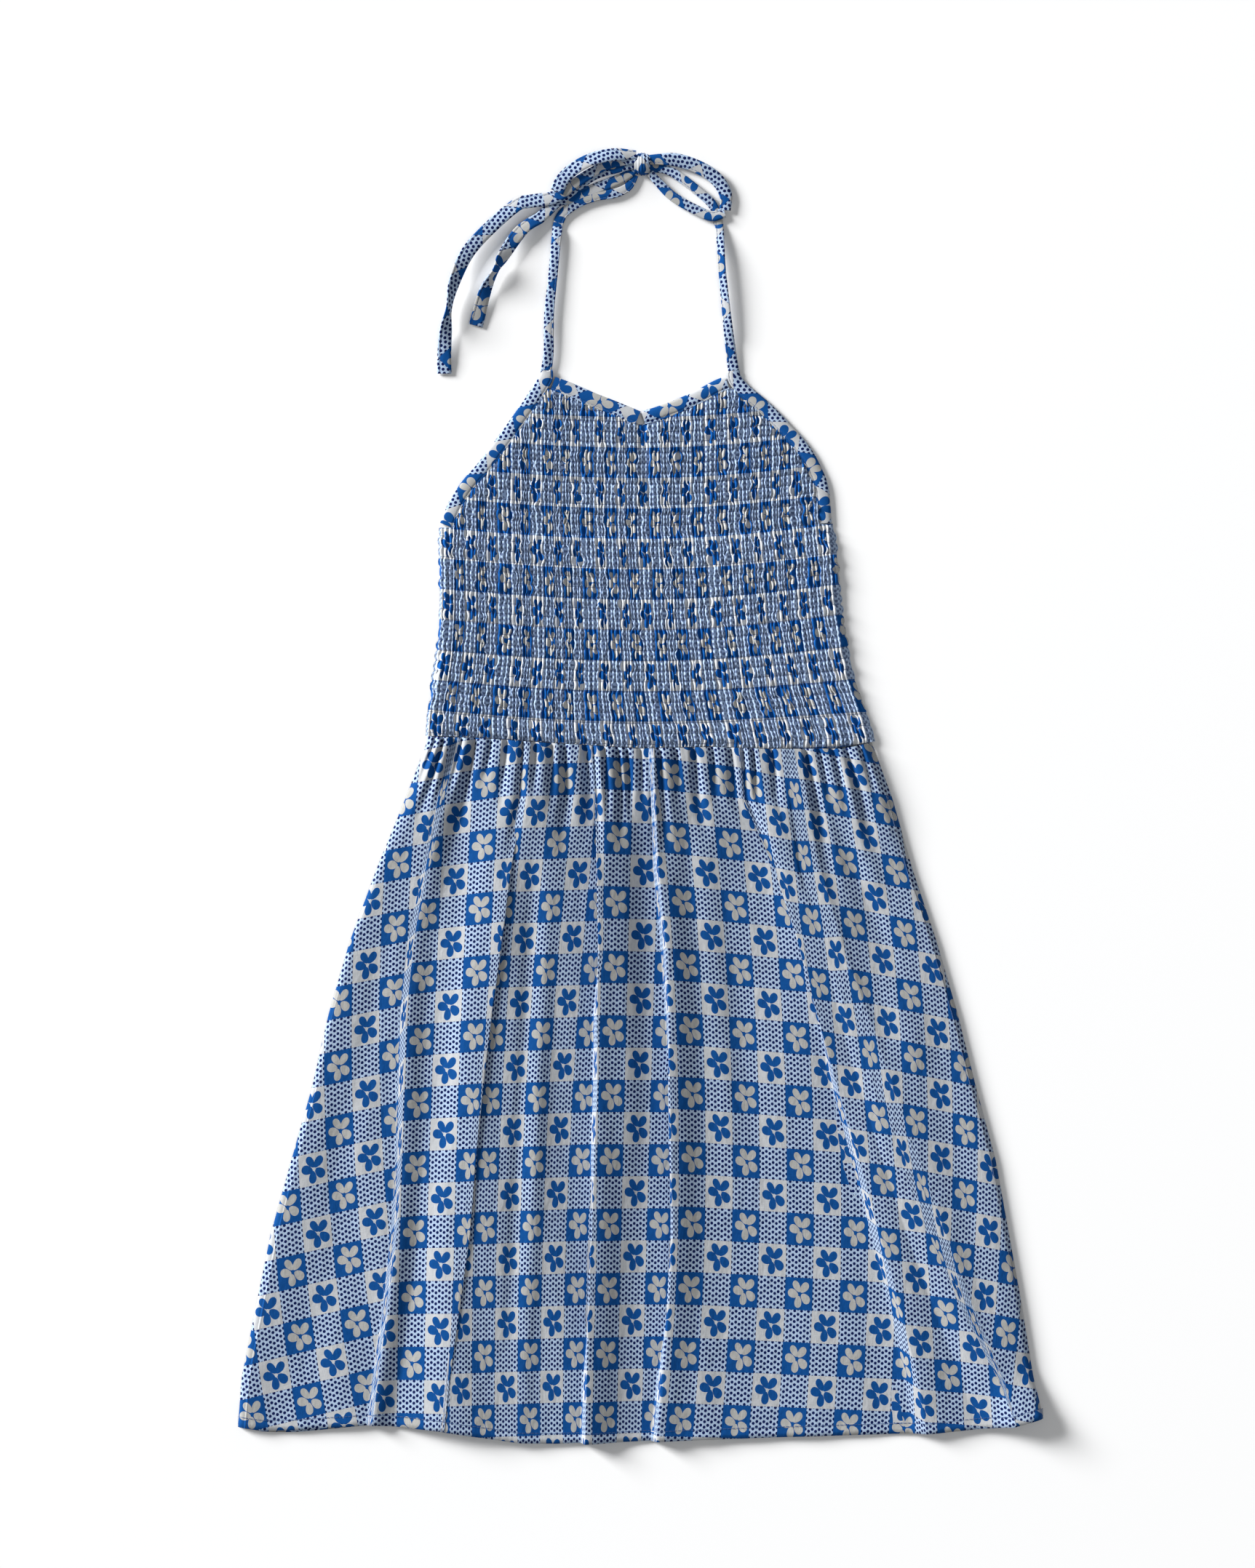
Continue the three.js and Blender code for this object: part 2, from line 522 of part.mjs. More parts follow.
// The wrap of the bow: a short barrel of cloth that is flat underneath.
function bowKnot() {
  const body = new Body();
  const around = [-1, -0.92, -0.6, -0.2, 0.2, 0.6, 0.92, 1];
  const slices = [
    { along: -0.5, swell: 0.8 }, { along: -0.3, swell: 0.96 }, { along: 0, swell: 1 },
    { along: 0.3, swell: 0.96 }, { along: 0.5, swell: 0.8 },
  ];
  const rings = slices.map(({ along, swell }) => body.line(around.map((share) => ({
    x: KNOT.x + along * KNOT.length,
    y: KNOT.y + share * 0.5 * KNOT.width * swell,
    z: Math.abs(share) === 1 ? 0 : KNOT.height * swell * Math.sqrt(1 - 0.62 * share * share),
  }))));
  for (let k = 1; k < rings.length; k += 1) body.ringPair(rings[k], rings[k - 1]);
  body.cap(rings[0], true);
  body.cap(rings[rings.length - 1], false);
  return body.mesh('bow_knot', cotton(BINDING_BLUE));
}

const dress = new THREE.Group();
dress.add(
  skirtBack(),
  backBodice(),
  skirtFront(),
  frontBodice(),
  edgeBinding('armhole_binding_left', ARMHOLE_LEFT, 1, { startWidth: 0.8 }),
  edgeBinding('armhole_binding_right', ARMHOLE_RIGHT, -1, { startWidth: 0.8 }),
  edgeBinding('neckline_binding_left', NECKLINE_LEFT, -1, { mitre: 'end' }),
  edgeBinding('neckline_binding_right', NECKLINE_RIGHT, -1, { mitre: 'start' }),
  ...Object.entries(TIE_PATHS).map(([name, stations]) => tieStretch(name, stations)),
  bowKnot(),
);

export default dress;
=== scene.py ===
"""A girl's halter-neck sundress of printed cotton, laid flat with its front up, seen from straight above.

Lengths in the tables are millimetres in the frame of the part: +X to the wearer's left, +Y from the hem to
the bow, +Z up from the surface that the dress lies on. Left and right in the names are those of the photo.
Meshes are made in metres.
"""
import math

import bpy
import numpy as np
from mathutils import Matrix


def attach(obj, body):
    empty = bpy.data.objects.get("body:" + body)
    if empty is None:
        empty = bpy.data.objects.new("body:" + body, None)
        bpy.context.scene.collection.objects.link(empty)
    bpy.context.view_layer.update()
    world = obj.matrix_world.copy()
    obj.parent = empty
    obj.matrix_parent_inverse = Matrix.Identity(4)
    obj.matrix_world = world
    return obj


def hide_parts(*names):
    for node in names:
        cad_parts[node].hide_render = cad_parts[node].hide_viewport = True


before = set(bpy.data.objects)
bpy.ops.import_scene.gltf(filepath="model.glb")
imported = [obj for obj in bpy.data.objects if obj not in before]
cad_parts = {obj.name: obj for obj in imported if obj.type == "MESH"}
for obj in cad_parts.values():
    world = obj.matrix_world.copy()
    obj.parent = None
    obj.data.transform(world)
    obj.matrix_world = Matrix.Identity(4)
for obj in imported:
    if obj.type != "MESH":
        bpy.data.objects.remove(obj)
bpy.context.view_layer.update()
MM = 0.001
link = bpy.context.scene.collection.objects.link

# Camera
# The photograph looks straight down with the bow at its top. Its frame is 0.8625 by 1.078 m on the surface.
FRAME_HEIGHT = 1.078
FRAME_MIDDLE = (-0.010, 0.0085)
LENS = 85.0
SENSOR = 36.0
camera_data = bpy.data.cameras.new("camera")
camera_data.lens = LENS
camera_data.sensor_fit = "VERTICAL"
camera_data.sensor_height = SENSOR
camera_data.clip_end = 20.0
camera = bpy.data.objects.new("camera", camera_data)
camera.location = (*FRAME_MIDDLE, FRAME_HEIGHT * LENS / SENSOR)
link(camera)
bpy.context.scene.camera = camera

# Floor and light
# A white studio table. A soft light low at the upper left throws short shadows to the right and below.
FLOOR_HALF = 4.0
FLOOR_Z = -0.0004
floor_mesh = bpy.data.meshes.new("floor")
floor_corners = [(FLOOR_HALF * x, FLOOR_HALF * y, 0) for x, y in ((-1, -1), (1, -1), (1, 1), (-1, 1))]
floor_mesh.from_pydata(floor_corners, [], [(0, 1, 2, 3)])
floor = bpy.data.objects.new("floor", floor_mesh)
floor.location.z = FLOOR_Z
link(floor)
floor_white = bpy.data.materials.new("floor_white")
floor_white.use_nodes = True
floor_shader = floor_white.node_tree.nodes["Principled BSDF"]
floor_shader.inputs["Base Color"].default_value = (0.85, 0.85, 0.85, 1)
floor_shader.inputs["Roughness"].default_value = 0.9
floor_shader.inputs["Specular IOR Level"].default_value = 0.1
floor_mesh.materials.append(floor_white)

world = bpy.data.worlds.new("studio")
world.use_nodes = True
world.node_tree.nodes["Background"].inputs["Color"].default_value = (0.96, 0.98, 1.0, 1)
world.node_tree.nodes["Background"].inputs["Strength"].default_value = 0.24
bpy.context.scene.world = world


def area_light(name, place, target, size, power):
    """A square soft box at place, turned to target."""
    data = bpy.data.lights.new(name, "AREA")
    data.size = size
    data.energy = power
    light = bpy.data.objects.new(name, data)
    light.location = place
    away = np.array(place) - np.array(target)
    light.rotation_euler = (
        math.atan2(math.hypot(away[0], away[1]), away[2]), 0, math.atan2(away[1], away[0]) + math.pi / 2,
    )
    link(light)


area_light("key", place=(-24.0, 14.0, 10.0), target=(0, 0, 0), size=10.0, power=21600)
area_light("fill", place=(1.4, -0.6, 4.2), target=(0, 0, 0), size=2.4, power=30)
bpy.context.scene.view_settings.view_transform = "Standard"
bpy.context.scene.view_settings.look = "None"

# The printed cotton
# Plain-woven cotton with a slight slub, printed blue on off-white: a check of squares, every second one
# with a five-petal flower and the squares between them filled with small dots, all drawn by formula.
# CELL is one square of the print, across and down the cloth.
CELL = (20.5, 22.3)
# The flower's petals, in squares from its middle: where each one's middle lies, which way it points in
# degrees and its half sizes. An egg's outer end is wider by EGG.
PETALS = [
    {"x": -0.075, "y": 0.225, "turn": 126, "long": 0.200, "wide": 0.112},
    {"x": 0.195, "y": 0.195, "turn": 46, "long": 0.195, "wide": 0.126},
    {"x": -0.205, "y": 0.0, "turn": 161, "long": 0.195, "wide": 0.132},
    {"x": -0.02, "y": -0.25, "turn": 266, "long": 0.185, "wide": 0.124},
    {"x": 0.24, "y": -0.14, "turn": 319, "long": 0.190, "wide": 0.136},
]
EGG = 0.2
EYE = {"x": 0.045, "y": -0.015, "radius": 0.045}
# A blue flower is larger than a pale one by this share of its area, because ink spreads into the cloth.
INK_SPREAD = 0.12
# The dots of a square are coarser than in life, so that they hold at the size of a render. DOT_ZIGZAG is
# how far every second one is lower, in rows, and DOT_SHARE the share of the cloth that they cover.
DOTS_ACROSS = 8.0
DOT_ROWS = 6.0
DOT_ZIGZAG = 0.36
DOT_RADIUS = 1.08
DOT_SHARE = math.pi * DOT_RADIUS ** 2 * DOTS_ACROSS * DOT_ROWS / (CELL[0] * CELL[1])
# The print's colours and the cloth's wrong side, as Blender's linear colours.
INKS = {
    "Ground": (0.400, 0.413, 0.430), "Between dots": (0.312, 0.405, 0.545), "Blue": (0.002, 0.054, 0.210),
    "Dot": (0.001, 0.007, 0.062), "Petal": (0.335, 0.335, 0.325),
}
WRONG_SIDE = (0.34, 0.36, 0.40, 1)
# Cells of noise in one square of the print, across and down: the threads both ways and the crumple.
WARP_CELLS = (46.0, 1.4, 1.0)
WEFT_CELLS = (1.2, 50.0, 1.0)
CRUMPLE_CELLS = (3.2, 2.2, 1.0)
SLUB_CONTRAST = 0.34
SLUB_HEIGHT = 0.25


class Nodes:
    """Builds one node tree. math and mix give back the output of the node that they add."""

    def __init__(self, tree):
        self.tree = tree

    def add(self, kind, **settings):
        made = self.tree.nodes.new(kind)
        for key, value in settings.items():
            setattr(made, key, value)
        return made

    def plug(self, socket, value):
        if isinstance(value, bpy.types.NodeSocket):
            self.tree.links.new(value, socket)
        else:
            socket.default_value = value

    def math(self, operation, *values):
        made = self.add("ShaderNodeMath", operation=operation)
        for socket, value in zip(made.inputs, values):
            self.plug(socket, value)
        return made.outputs[0]

    def mix(self, share, first, second):
        made = self.add("ShaderNodeMix", data_type="RGBA")
        self.plug(made.inputs["Factor"], share)
        self.plug(made.inputs[6], first)
        self.plug(made.inputs[7], second)
        return made.outputs[2]


def print_group():
    """The check-and-flower print: where a point lies, counted in squares, gives its colour."""
    tree = bpy.data.node_groups.new("check_and_flower_print", "ShaderNodeTree")
    tree.interface.new_socket("Squares", in_out="INPUT", socket_type="NodeSocketVector")
    for name in INKS:
        tree.interface.new_socket(name, in_out="INPUT", socket_type="NodeSocketColor")
    tree.interface.new_socket("Color", in_out="OUTPUT", socket_type="NodeSocketColor")
    nodes = Nodes(tree)
    given = nodes.add("NodeGroupInput")
    split = nodes.add("ShaderNodeSeparateXYZ")
    nodes.plug(split.inputs[0], given.outputs["Squares"])
    across, down = split.outputs[0], split.outputs[1]
    column, row = nodes.math("ROUND", across), nodes.math("ROUND", down)
    x, y = nodes.math("SUBTRACT", across, column), nodes.math("SUBTRACT", row, down)
    odd_column, odd_row = nodes.math("PINGPONG", column, 1.0), nodes.math("PINGPONG", row, 1.0)
    has_flower = nodes.math("COMPARE", odd_column, odd_row, 0.2)
    is_blue = nodes.math("MULTIPLY", has_flower, nodes.math("SUBTRACT", 1.0, odd_column))

    # Each petal is an egg that is wider at its outer end.
    reach = nodes.math("MULTIPLY_ADD", odd_column, INK_SPREAD, 1.0)
    petal = 0.0
    for each in PETALS:
        cos, sin = math.cos(math.radians(each["turn"])), math.sin(math.radians(each["turn"]))
        away_x, away_y = nodes.math("SUBTRACT", x, each["x"]), nodes.math("SUBTRACT", y, each["y"])
        out = nodes.math("MULTIPLY_ADD", away_x, cos, nodes.math("MULTIPLY", away_y, sin))
        out = nodes.math("DIVIDE", out, each["long"])
        side = nodes.math("MULTIPLY_ADD", away_y, cos, nodes.math("MULTIPLY", away_x, -sin))
        half = nodes.math("MULTIPLY_ADD", out, EGG * each["wide"], each["wide"])
        side = nodes.math("DIVIDE", side, half)
        beyond = nodes.math("MULTIPLY_ADD", out, out, nodes.math("MULTIPLY", side, side))
        petal = nodes.math("MAXIMUM", petal, nodes.math("LESS_THAN", beyond, reach))
    eye_x, eye_y = nodes.math("SUBTRACT", x, EYE["x"]), nodes.math("SUBTRACT", y, EYE["y"])
    eye = nodes.math("MULTIPLY_ADD", eye_x, eye_x, nodes.math("MULTIPLY", eye_y, eye_y))
    petal = nodes.math("MULTIPLY", petal, nodes.math("GREATER_THAN", eye, EYE["radius"] ** 2))
    flower = nodes.math("MULTIPLY", petal, has_flower)

    # Rows of dots, every second dot of a row a little lower.
    along = nodes.math("MULTIPLY", x, DOTS_ACROSS)
    number = nodes.math("ROUND", along)
    lower = nodes.math("MULTIPLY_ADD", nodes.math("PINGPONG", number, 1.0), DOT_ZIGZAG, -DOT_ZIGZAG / 2)
    line = nodes.math("MULTIPLY_ADD", y, DOT_ROWS, lower)
    dx = nodes.math("MULTIPLY", nodes.math("SUBTRACT", along, number), CELL[0] / DOTS_ACROSS)
    dy = nodes.math("MULTIPLY", nodes.math("SUBTRACT", line, nodes.math("ROUND", line)), CELL[1] / DOT_ROWS)
    size = nodes.math("MULTIPLY_ADD", dx, dx, nodes.math("MULTIPLY", dy, dy))
    near = nodes.math("LESS_THAN", size, DOT_RADIUS ** 2)
    dot = nodes.math("MULTIPLY", near, nodes.math("SUBTRACT", 1.0, has_flower))

    blue_flower = nodes.math("MULTIPLY", flower, odd_column)
    ground = nodes.mix(has_flower, given.outputs["Between dots"], given.outputs["Ground"])
    base = nodes.mix(is_blue, ground, given.outputs["Blue"])
    dotted = nodes.mix(dot, base, given.outputs["Dot"])
    printed = nodes.mix(blue_flower, dotted, given.outputs["Blue"])
    pale_flower = nodes.math("MULTIPLY", flower, is_blue)
    done = nodes.mix(pale_flower, printed, given.outputs["Petal"])
    nodes.plug(nodes.add("NodeGroupOutput").inputs["Color"], done)
    return tree


def slub_group():
    """The plain weave: thick and thin threads both ways and a fine crumple, as a height and a tone."""
    tree = bpy.data.node_groups.new("slub_weave", "ShaderNodeTree")
    tree.interface.new_socket("Squares", in_out="INPUT", socket_type="NodeSocketVector")
    tree.interface.new_socket("Tone", in_out="OUTPUT", socket_type="NodeSocketFloat")
    tree.interface.new_socket("Height", in_out="OUTPUT", socket_type="NodeSocketFloat")
    nodes = Nodes(tree)
    given = nodes.add("NodeGroupInput")

    def streaks(stretch):
        scaled = nodes.add("ShaderNodeVectorMath", operation="MULTIPLY")
        nodes.plug(scaled.inputs[0], given.outputs["Squares"])
        scaled.inputs[1].default_value = stretch
        noise = nodes.add("ShaderNodeTexNoise")
        noise.inputs["Scale"].default_value = 1.0
        noise.inputs["Detail"].default_value = 2.0
        nodes.plug(noise.inputs["Vector"], scaled.outputs[0])
        return noise.outputs["Fac"]

    threads = nodes.math("MULTIPLY", nodes.math("ADD", streaks(WARP_CELLS), streaks(WEFT_CELLS)), 0.5)
    tone = nodes.math("MULTIPLY_ADD", threads, SLUB_CONTRAST, 1 - SLUB_CONTRAST / 2)
    ends = nodes.add("NodeGroupOutput")
    nodes.plug(ends.inputs["Tone"], tone)
    height = nodes.math("MULTIPLY_ADD", threads, SLUB_HEIGHT, streaks(CRUMPLE_CELLS))
    nodes.plug(ends.inputs["Height"], height)
    return tree


PRINT = print_group()
SLUB = slub_group()


def cotton(name, crumple=0.5, painted_lightening=1.0, even=0.0):
    """The printed cotton. Its wrong side is paler, because the print is only on the right side.

    even is how far the dots and the ground between them draw together, where the cloth is gathered finely.
    The lightening factor is painted light: it multiplies the print's colours to make a lighter copy of the
    same cloth.
    """
    made = bpy.data.materials.new(name)
    made.use_nodes = True
    nodes = Nodes(made.node_tree)
    shader = made.node_tree.nodes["Principled BSDF"]
    uv = nodes.add("ShaderNodeUVMap", uv_map="cloth")
    printed = nodes.add("ShaderNodeGroup", node_tree=PRINT)
    for part, ink in INKS.items():
        colour = np.array(ink)
        if part in ("Dot", "Between dots"):
            mean = DOT_SHARE * np.array(INKS["Dot"]) + (1 - DOT_SHARE) * np.array(INKS["Between dots"])
            colour = colour + even * (mean - colour)
        # Painted light: the print's colours are multiplied here by the lightening factor.
        printed.inputs[part].default_value = (*(painted_lightening * colour), 1)
    nodes.plug(printed.inputs["Squares"], uv.outputs[0])
    weave = nodes.add("ShaderNodeGroup", node_tree=SLUB)
    nodes.plug(weave.inputs["Squares"], uv.outputs[0])
    toned = nodes.add("ShaderNodeMix", data_type="RGBA", blend_type="MULTIPLY")
    toned.inputs["Factor"].default_value = 1.0
    nodes.plug(toned.inputs[6], printed.outputs["Color"])
    nodes.plug(toned.inputs[7], weave.outputs["Tone"])
    wrong_side = nodes.add("ShaderNodeNewGeometry").outputs["Backfacing"]
    pale = nodes.mix(nodes.math("MULTIPLY", wrong_side, 0.6), toned.outputs[2], WRONG_SIDE)
    nodes.plug(shader.inputs["Base Color"], pale)
    shader.inputs["Roughness"].default_value = 0.85
    shader.inputs["Specular IOR Level"].default_value = 0.08
    shader.inputs["Sheen Weight"].default_value = 0.03
    bump = nodes.add("ShaderNodeBump")
    bump.inputs["Strength"].default_value = crumple
    bump.inputs["Distance"].default_value = 0.0011
    nodes.plug(bump.inputs["Height"], weave.outputs["Height"])
    nodes.plug(shader.inputs["Normal"], bump.outputs["Normal"])
    return made


PANEL_COTTON = cotton("printed_cotton")
# Painted light: the bindings' cloth, and much more the shirred cloth, are the same cotton painted lighter,
# to offset the shade that falls in their folds and deep pleats.
BIAS_COTTON_PAINTED_LIGHTER = cotton("bias_cotton", crumple=0.25, painted_lightening=1.08)
SHIRRED_COTTON_PAINTED_LIGHTER = cotton("shirred_cotton_painted_lighter", crumple=0.3, painted_lightening=1.42, even=0.4)

# Skirt, back
# The back panel of the A-line skirt, one layer of the cotton. It lies on the table under the front and
# shows only as a narrow edge at the left of the hem. Its top is gathered into the waist seam.
WAIST = {
    "x": [-148.3, -115.8, -79.8, -49.2, -1.2, 47.2, 83.8, 132.2, 159.2],
    "y": [41.5, 40.5, 38.0, 36.0, 33.0, 34.2, 32.8, 33.0, 37.5],
}
HEM = {
    "x": [-278.2, -260, -239, -184, -136.8, -81.2, -56.2, 98.8, 198.2, 257.8, 278.2],
    "y": [-433, -435.6, -435.2, -431.6, -435.5, -444, -444.5, -440, -437.5, -432, -426],
}
# LEVELS are the heights at which the skirt's sides and folds are given.
LEVELS = [38, 0, -50, -100, -150, -200, -250, -300, -350, -400, -440]
SIDE_LEFT = [-147.5, -162, -182.5, -201, -215.5, -226.8, -241, -255, -265.2, -275.2, -278.2]
SIDE_RIGHT = [157.4, 171.6, 185.8, 202.5, 217, 229.5, 243, 252, 261, 269, 278.2]
# Where the back's hem peeps out below the front's: how far, and its middle and half width as shares.
PEEP = {"deep": 2.4, "middle": 0.07, "half": 0.16}
BACK_SHORTER = 0.8
BAKE_MARGIN = 0.01


def at_level(numbers, y):
    """Numbers given at LEVELS, read at the heights y."""
    return np.interp(-np.asarray(y, float), [-level for level in LEVELS], numbers)


def smooth(low, high, value):
    """0 below low, 1 above high and a soft step between them."""
    t = np.clip((value - low) / (high - low), 0, 1)
    return t * t * (3 - 2 * t)


def grid_piece(name, points, squares, material, node, keep=None):
    """One piece of cloth from a grid of points in mm. squares is the print's place at each point."""
    rows, columns = points.shape[:2]
    index = np.arange(rows * columns).reshape(rows, columns)
    quads = np.stack([index[1:, :-1], index[1:, 1:], index[:-1, 1:], index[:-1, :-1]], axis=-1)
    quads = quads.reshape(-1, 4)
    if keep is not None:
        quads = quads[keep.reshape(-1)]
    used, quads = np.unique(quads, return_inverse=True)
    quads = quads.reshape(-1, 4)
    mesh = bpy.data.meshes.new(name)
    mesh.vertices.add(len(used))
    mesh.vertices.foreach_set("co", (points.reshape(-1, 3)[used] * MM).astype(np.float32).ravel())
    mesh.loops.add(quads.size)
    mesh.loops.foreach_set("vertex_index", quads.astype(np.int32).ravel())
    mesh.polygons.add(len(quads))
    mesh.polygons.foreach_set("loop_start", np.arange(0, quads.size, 4, dtype=np.int32))
    mesh.update(calc_edges=True)
    across = np.linspace(BAKE_MARGIN, 1 - BAKE_MARGIN, columns)
    down = np.linspace(1 - BAKE_MARGIN, BAKE_MARGIN, rows)
    flat = np.stack(np.meshgrid(across, down), axis=-1).reshape(-1, 2)
    for layer, values in (("OFBake", flat), ("cloth", squares.reshape(-1, 2))):
        uv = mesh.uv_layers.new(name=layer)
        uv.data.foreach_set("uv", values[used][quads.ravel()].astype(np.float32).ravel())
    mesh.polygons.foreach_set("use_smooth", np.ones(len(quads), dtype=bool))
    mesh.materials.append(material)
    piece = bpy.data.objects.new(name, mesh)
    link(piece)
    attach(piece, "root")
    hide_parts(node)
    return piece


def skirt_back():
    share = np.linspace(0, 1, 70)[None, :]
    fall = np.linspace(0, 1, 60)[:, None]
    waist_x = SIDE_LEFT[0] + (SIDE_RIGHT[0] - SIDE_LEFT[0]) * share
    hem_x = SIDE_LEFT[-1] + (SIDE_RIGHT[-1] - SIDE_LEFT[-1]) * share
    peep = PEEP["deep"] * (1 - smooth(0, PEEP["half"], np.abs(share - PEEP["middle"])))
    waist = np.interp(waist_x, WAIST["x"], WAIST["y"])
    hem = np.interp(hem_x, HEM["x"], HEM["y"]) + BACK_SHORTER - peep
    y = waist + (hem - waist) * fall
    left, right = at_level(SIDE_LEFT, y) + 1.0, at_level(SIDE_RIGHT, y) - 1.0
    x = left + (right - left) * share
    z = 0.7 + 0.35 * np.sin(x * 0.12 + y * 0.01) * np.sin(y * 0.021 + 1.0)
    squares = np.stack([x / CELL[0] + 0.3, -y / CELL[1] + 0.2], axis=-1)
    points = np.stack([x, y, z], axis=-1)
    return grid_piece("skirt_back_panel", points, squares, PANEL_COTTON, "skirt_back")


back = skirt_back()

# Skirt, front
# The front panel, gathered on at the waist and laid in long folds that fan out to the hem. Each fold is an
# S of cloth whose one side lies over the other. The hem is turned up 7 mm and stitched.
FRONT_TOP = 2.7
# course is the fold's x at LEVELS, lift its height there and over how far its lip reaches over, 1 for
# 3.5 mm. Below 0 there is no lip, and the cloth slopes over that width.
FOLDS = [
    {
        "upper": "right", "spread": 16,
        "course": [-125, -135, -146, -156, -162, -164, -165, -168, -174, -181, -186],
        "lift": [2, 2.5, 3, 3, 3.5, 3.5, 3.5, 4, 4.5, 5, 5],
        "over": [-1.6, -1.6, -1.5, -1.5, -1.4, -1.3, -1.3, -1.3, -1.2, -1.2, -1.2],
    },
    {
        "upper": "left", "spread": 38,
        "course": [-80, -81, -90, -96, -103, -109, -114, -118, -125, -132, -136],
        "lift": [2, 4, 5.5, 6, 6, 6, 5.5, 5.5, 5, 4.5, 4.5],
        "over": [0.6, 0.8, 1, 1, 1, 1, 1, 1, 0.9, 0.7, 0.5],
    },
    {
        "upper": "right", "spread": 36,
        "course": [-35, -32, -31, -30, -31, -31, -33, -35, -37, -38, -39],
        "lift": [2, 4, 5.5, 6, 6, 6, 6, 5.5, 5, 4.5, 4],
        "over": [0.6, 0.8, 0.8, 0.6, -0.8, -0.9, -0.7, 0.5, 0.4, -0.8, -0.9],
    },
    {
        "upper": "right", "spread": 24,
        "course": [7, 9, 11, 16, 18, 18, 19, 20, 17, 13, 10],
        "lift": [2, 4, 5, 5.5, 5.5, 5.5, 5.5, 5, 4.5, 4, 3.5],
        "over": [-0.9, -0.9, -1.0, -1.0, -0.6, 0.4, 0.6, 0.6, 0.4, -0.8, -1.2],
    },
    {
        "upper": "right", "spread": 40,
        "course": [66, 69, 91, 107, 120, 134, 149, 163, 177, 189, 196],
        "lift": [3, 4.5, 5.5, 5.5, 4.5, 4, 3.8, 3.6, 3.4, 3, 2.5],
        "over": [0.6, 0.9, 0.9, 0.7, 0.2, -1.0, -1.5, -1.7, -2.0, -2.4, -3.0],
    },
    {
        "upper": "left", "spread": 30,
        "course": [96, 101, 108, 123, 141, 159, 177, 196, 218, 244, 260],
        "lift": [2, 2.5, 3, 3.2, 3.4, 3.6, 3.8, 4, 4.2, 4.6, 5],
        "over": [-3, -3.5, -4, -4, -4, -4, -4, -3.5, -2.5, -1.2, 0.4],
    },
]
# Where the print lies on each strip of cloth between two folds. Down the line x of the strip, across and
# down count its squares at the three LAY_LEVELS. pitch is how many squares lie in 100 mm across and slant
# how many rows farther down they are there, both at the top and at the foot.
LAY_LEVELS = [0, -200, -400]
PRINT_LAY = [
    {"x": -195, "across": [-1.75, -1.29, -2.22], "down": [-0.39, 8.78, 17.70],
     "pitch": [5.58, 4.91], "slant": [0.84, 1.04]},
    {"x": -136, "across": [2.44, 2.95, 3.21], "down": [0.22, 9.56, 18.49],
     "pitch": [5.53, 5.32], "slant": [0.67, 0.08]},
    {"x": -70, "across": [7.11, 8.10, 8.49], "down": [0.52, 9.68, 18.75],
     "pitch": [6.05, 6.40], "slant": [0.14, 0.10]},
    {"x": -6, "across": [12.53, 12.83, 13.12], "down": [0.68, 9.75, 18.81],
     "pitch": [5.28, 5.88], "slant": [-0.22, 0.01]},
    {"x": 76, "across": [19.10, 18.29, 18.49], "down": [0.39, 9.67, 18.68],
     "pitch": [5.63, 5.24], "slant": [-0.52, -0.21]},
    {"x": 146, "across": [24.61, 23.16, 22.54], "down": [-0.36, 9.16, 18.38],
     "pitch": [6.60, 5.39], "slant": [-0.99, -0.44]},
    {"x": 194, "across": [27.70, 26.41, 27.03], "down": [-0.71, 8.87, 17.87],
     "pitch": [5.99, 5.75], "slant": [-0.95, -0.85]},
]
# Gathers at the waist. Each little valley has its x, how far it runs down, how deep it is and its width.
# They are the solid's, made deeper here.
GATHERS = [
    (-141, 40, 2.2, 2.5), (-133, 70, 3.0, 2.8), (-124, 55, 3.2, 2.6), (-115, 95, 3.5, 3.0),
    (-104, 40, 2.4, 2.5), (-93, 60, 2.7, 2.6), (-81, 110, 3.8, 3.1), (-72, 45, 2.7, 2.5),
    (-62, 60, 2.7, 2.6), (-54, 85, 3.5, 2.8), (-41, 70, 3.2, 2.8), (-34, 100, 3.2, 2.6),
    (-26, 60, 3.0, 2.3), (-16, 80, 3.5, 2.5), (-9, 60, 3.0, 2.3), (1, 45, 2.4, 2.3),
    (11, 110, 3.5, 2.6), (22, 45, 2.4, 2.5), (34, 75, 3.2, 3.0), (46, 50, 2.4, 2.6),
    (58, 60, 2.7, 2.6), (68, 105, 3.8, 3.0), (75, 60, 3.2, 2.5), (88, 50, 2.4, 2.6),
    (101, 120, 3.5, 3.0), (112, 45, 2.4, 2.6), (123, 60, 2.7, 2.8), (134, 90, 3.2, 3.1),
    (146, 45, 2.4, 2.6),
]
GATHER_DEEPER = 1.45
# The gathered cloth stands up at the waist by high and comes down over reach. edge rounds it at a side.
WAIST_PUFF = {"high": 4.2, "reach": 100, "edge": 10}
# Soft ridges and troughs between the folds: (x, y) at the top and at the foot, the width and the height,
# which is below 0 in a trough.
CREASES = [
    ((136, 26), (163, -76), 8, 2.2), ((163, -76), (190, -190), 11, 1.8),
    ((-64, -60), (-81, -415), 6, 1.6), ((-74, -40), (-92, -380), 5, -1.2),
    ((-106, -10), (-140, -330), 9, 1.2), ((-140, 10), (-205, -300), 10, 1.4),
    ((-150, -60), (-232, -400), 12, -1.0), ((-10, 10), (-8, -330), 9, 1.3),
    ((38, 12), (62, -260), 10, 1.4), ((52, -40), (110, -420), 13, -1.2),
    ((86, 10), (150, -170), 9, 1.4), ((30, -180), (44, -430), 13, 1.4),
    ((-10, -250), (-16, -435), 10, -0.8), ((120, 12), (182, -140), 8, -1.3),
]
SKIRT_ROWS = 150
STRIP_COLUMNS = 58
# Shares of a side strip's width where its first points lie, close together for the round of the edge.
EDGE_SHARES = [0, 0.004, 0.012, 0.025, 0.045, 0.07]
LIP = 3.5
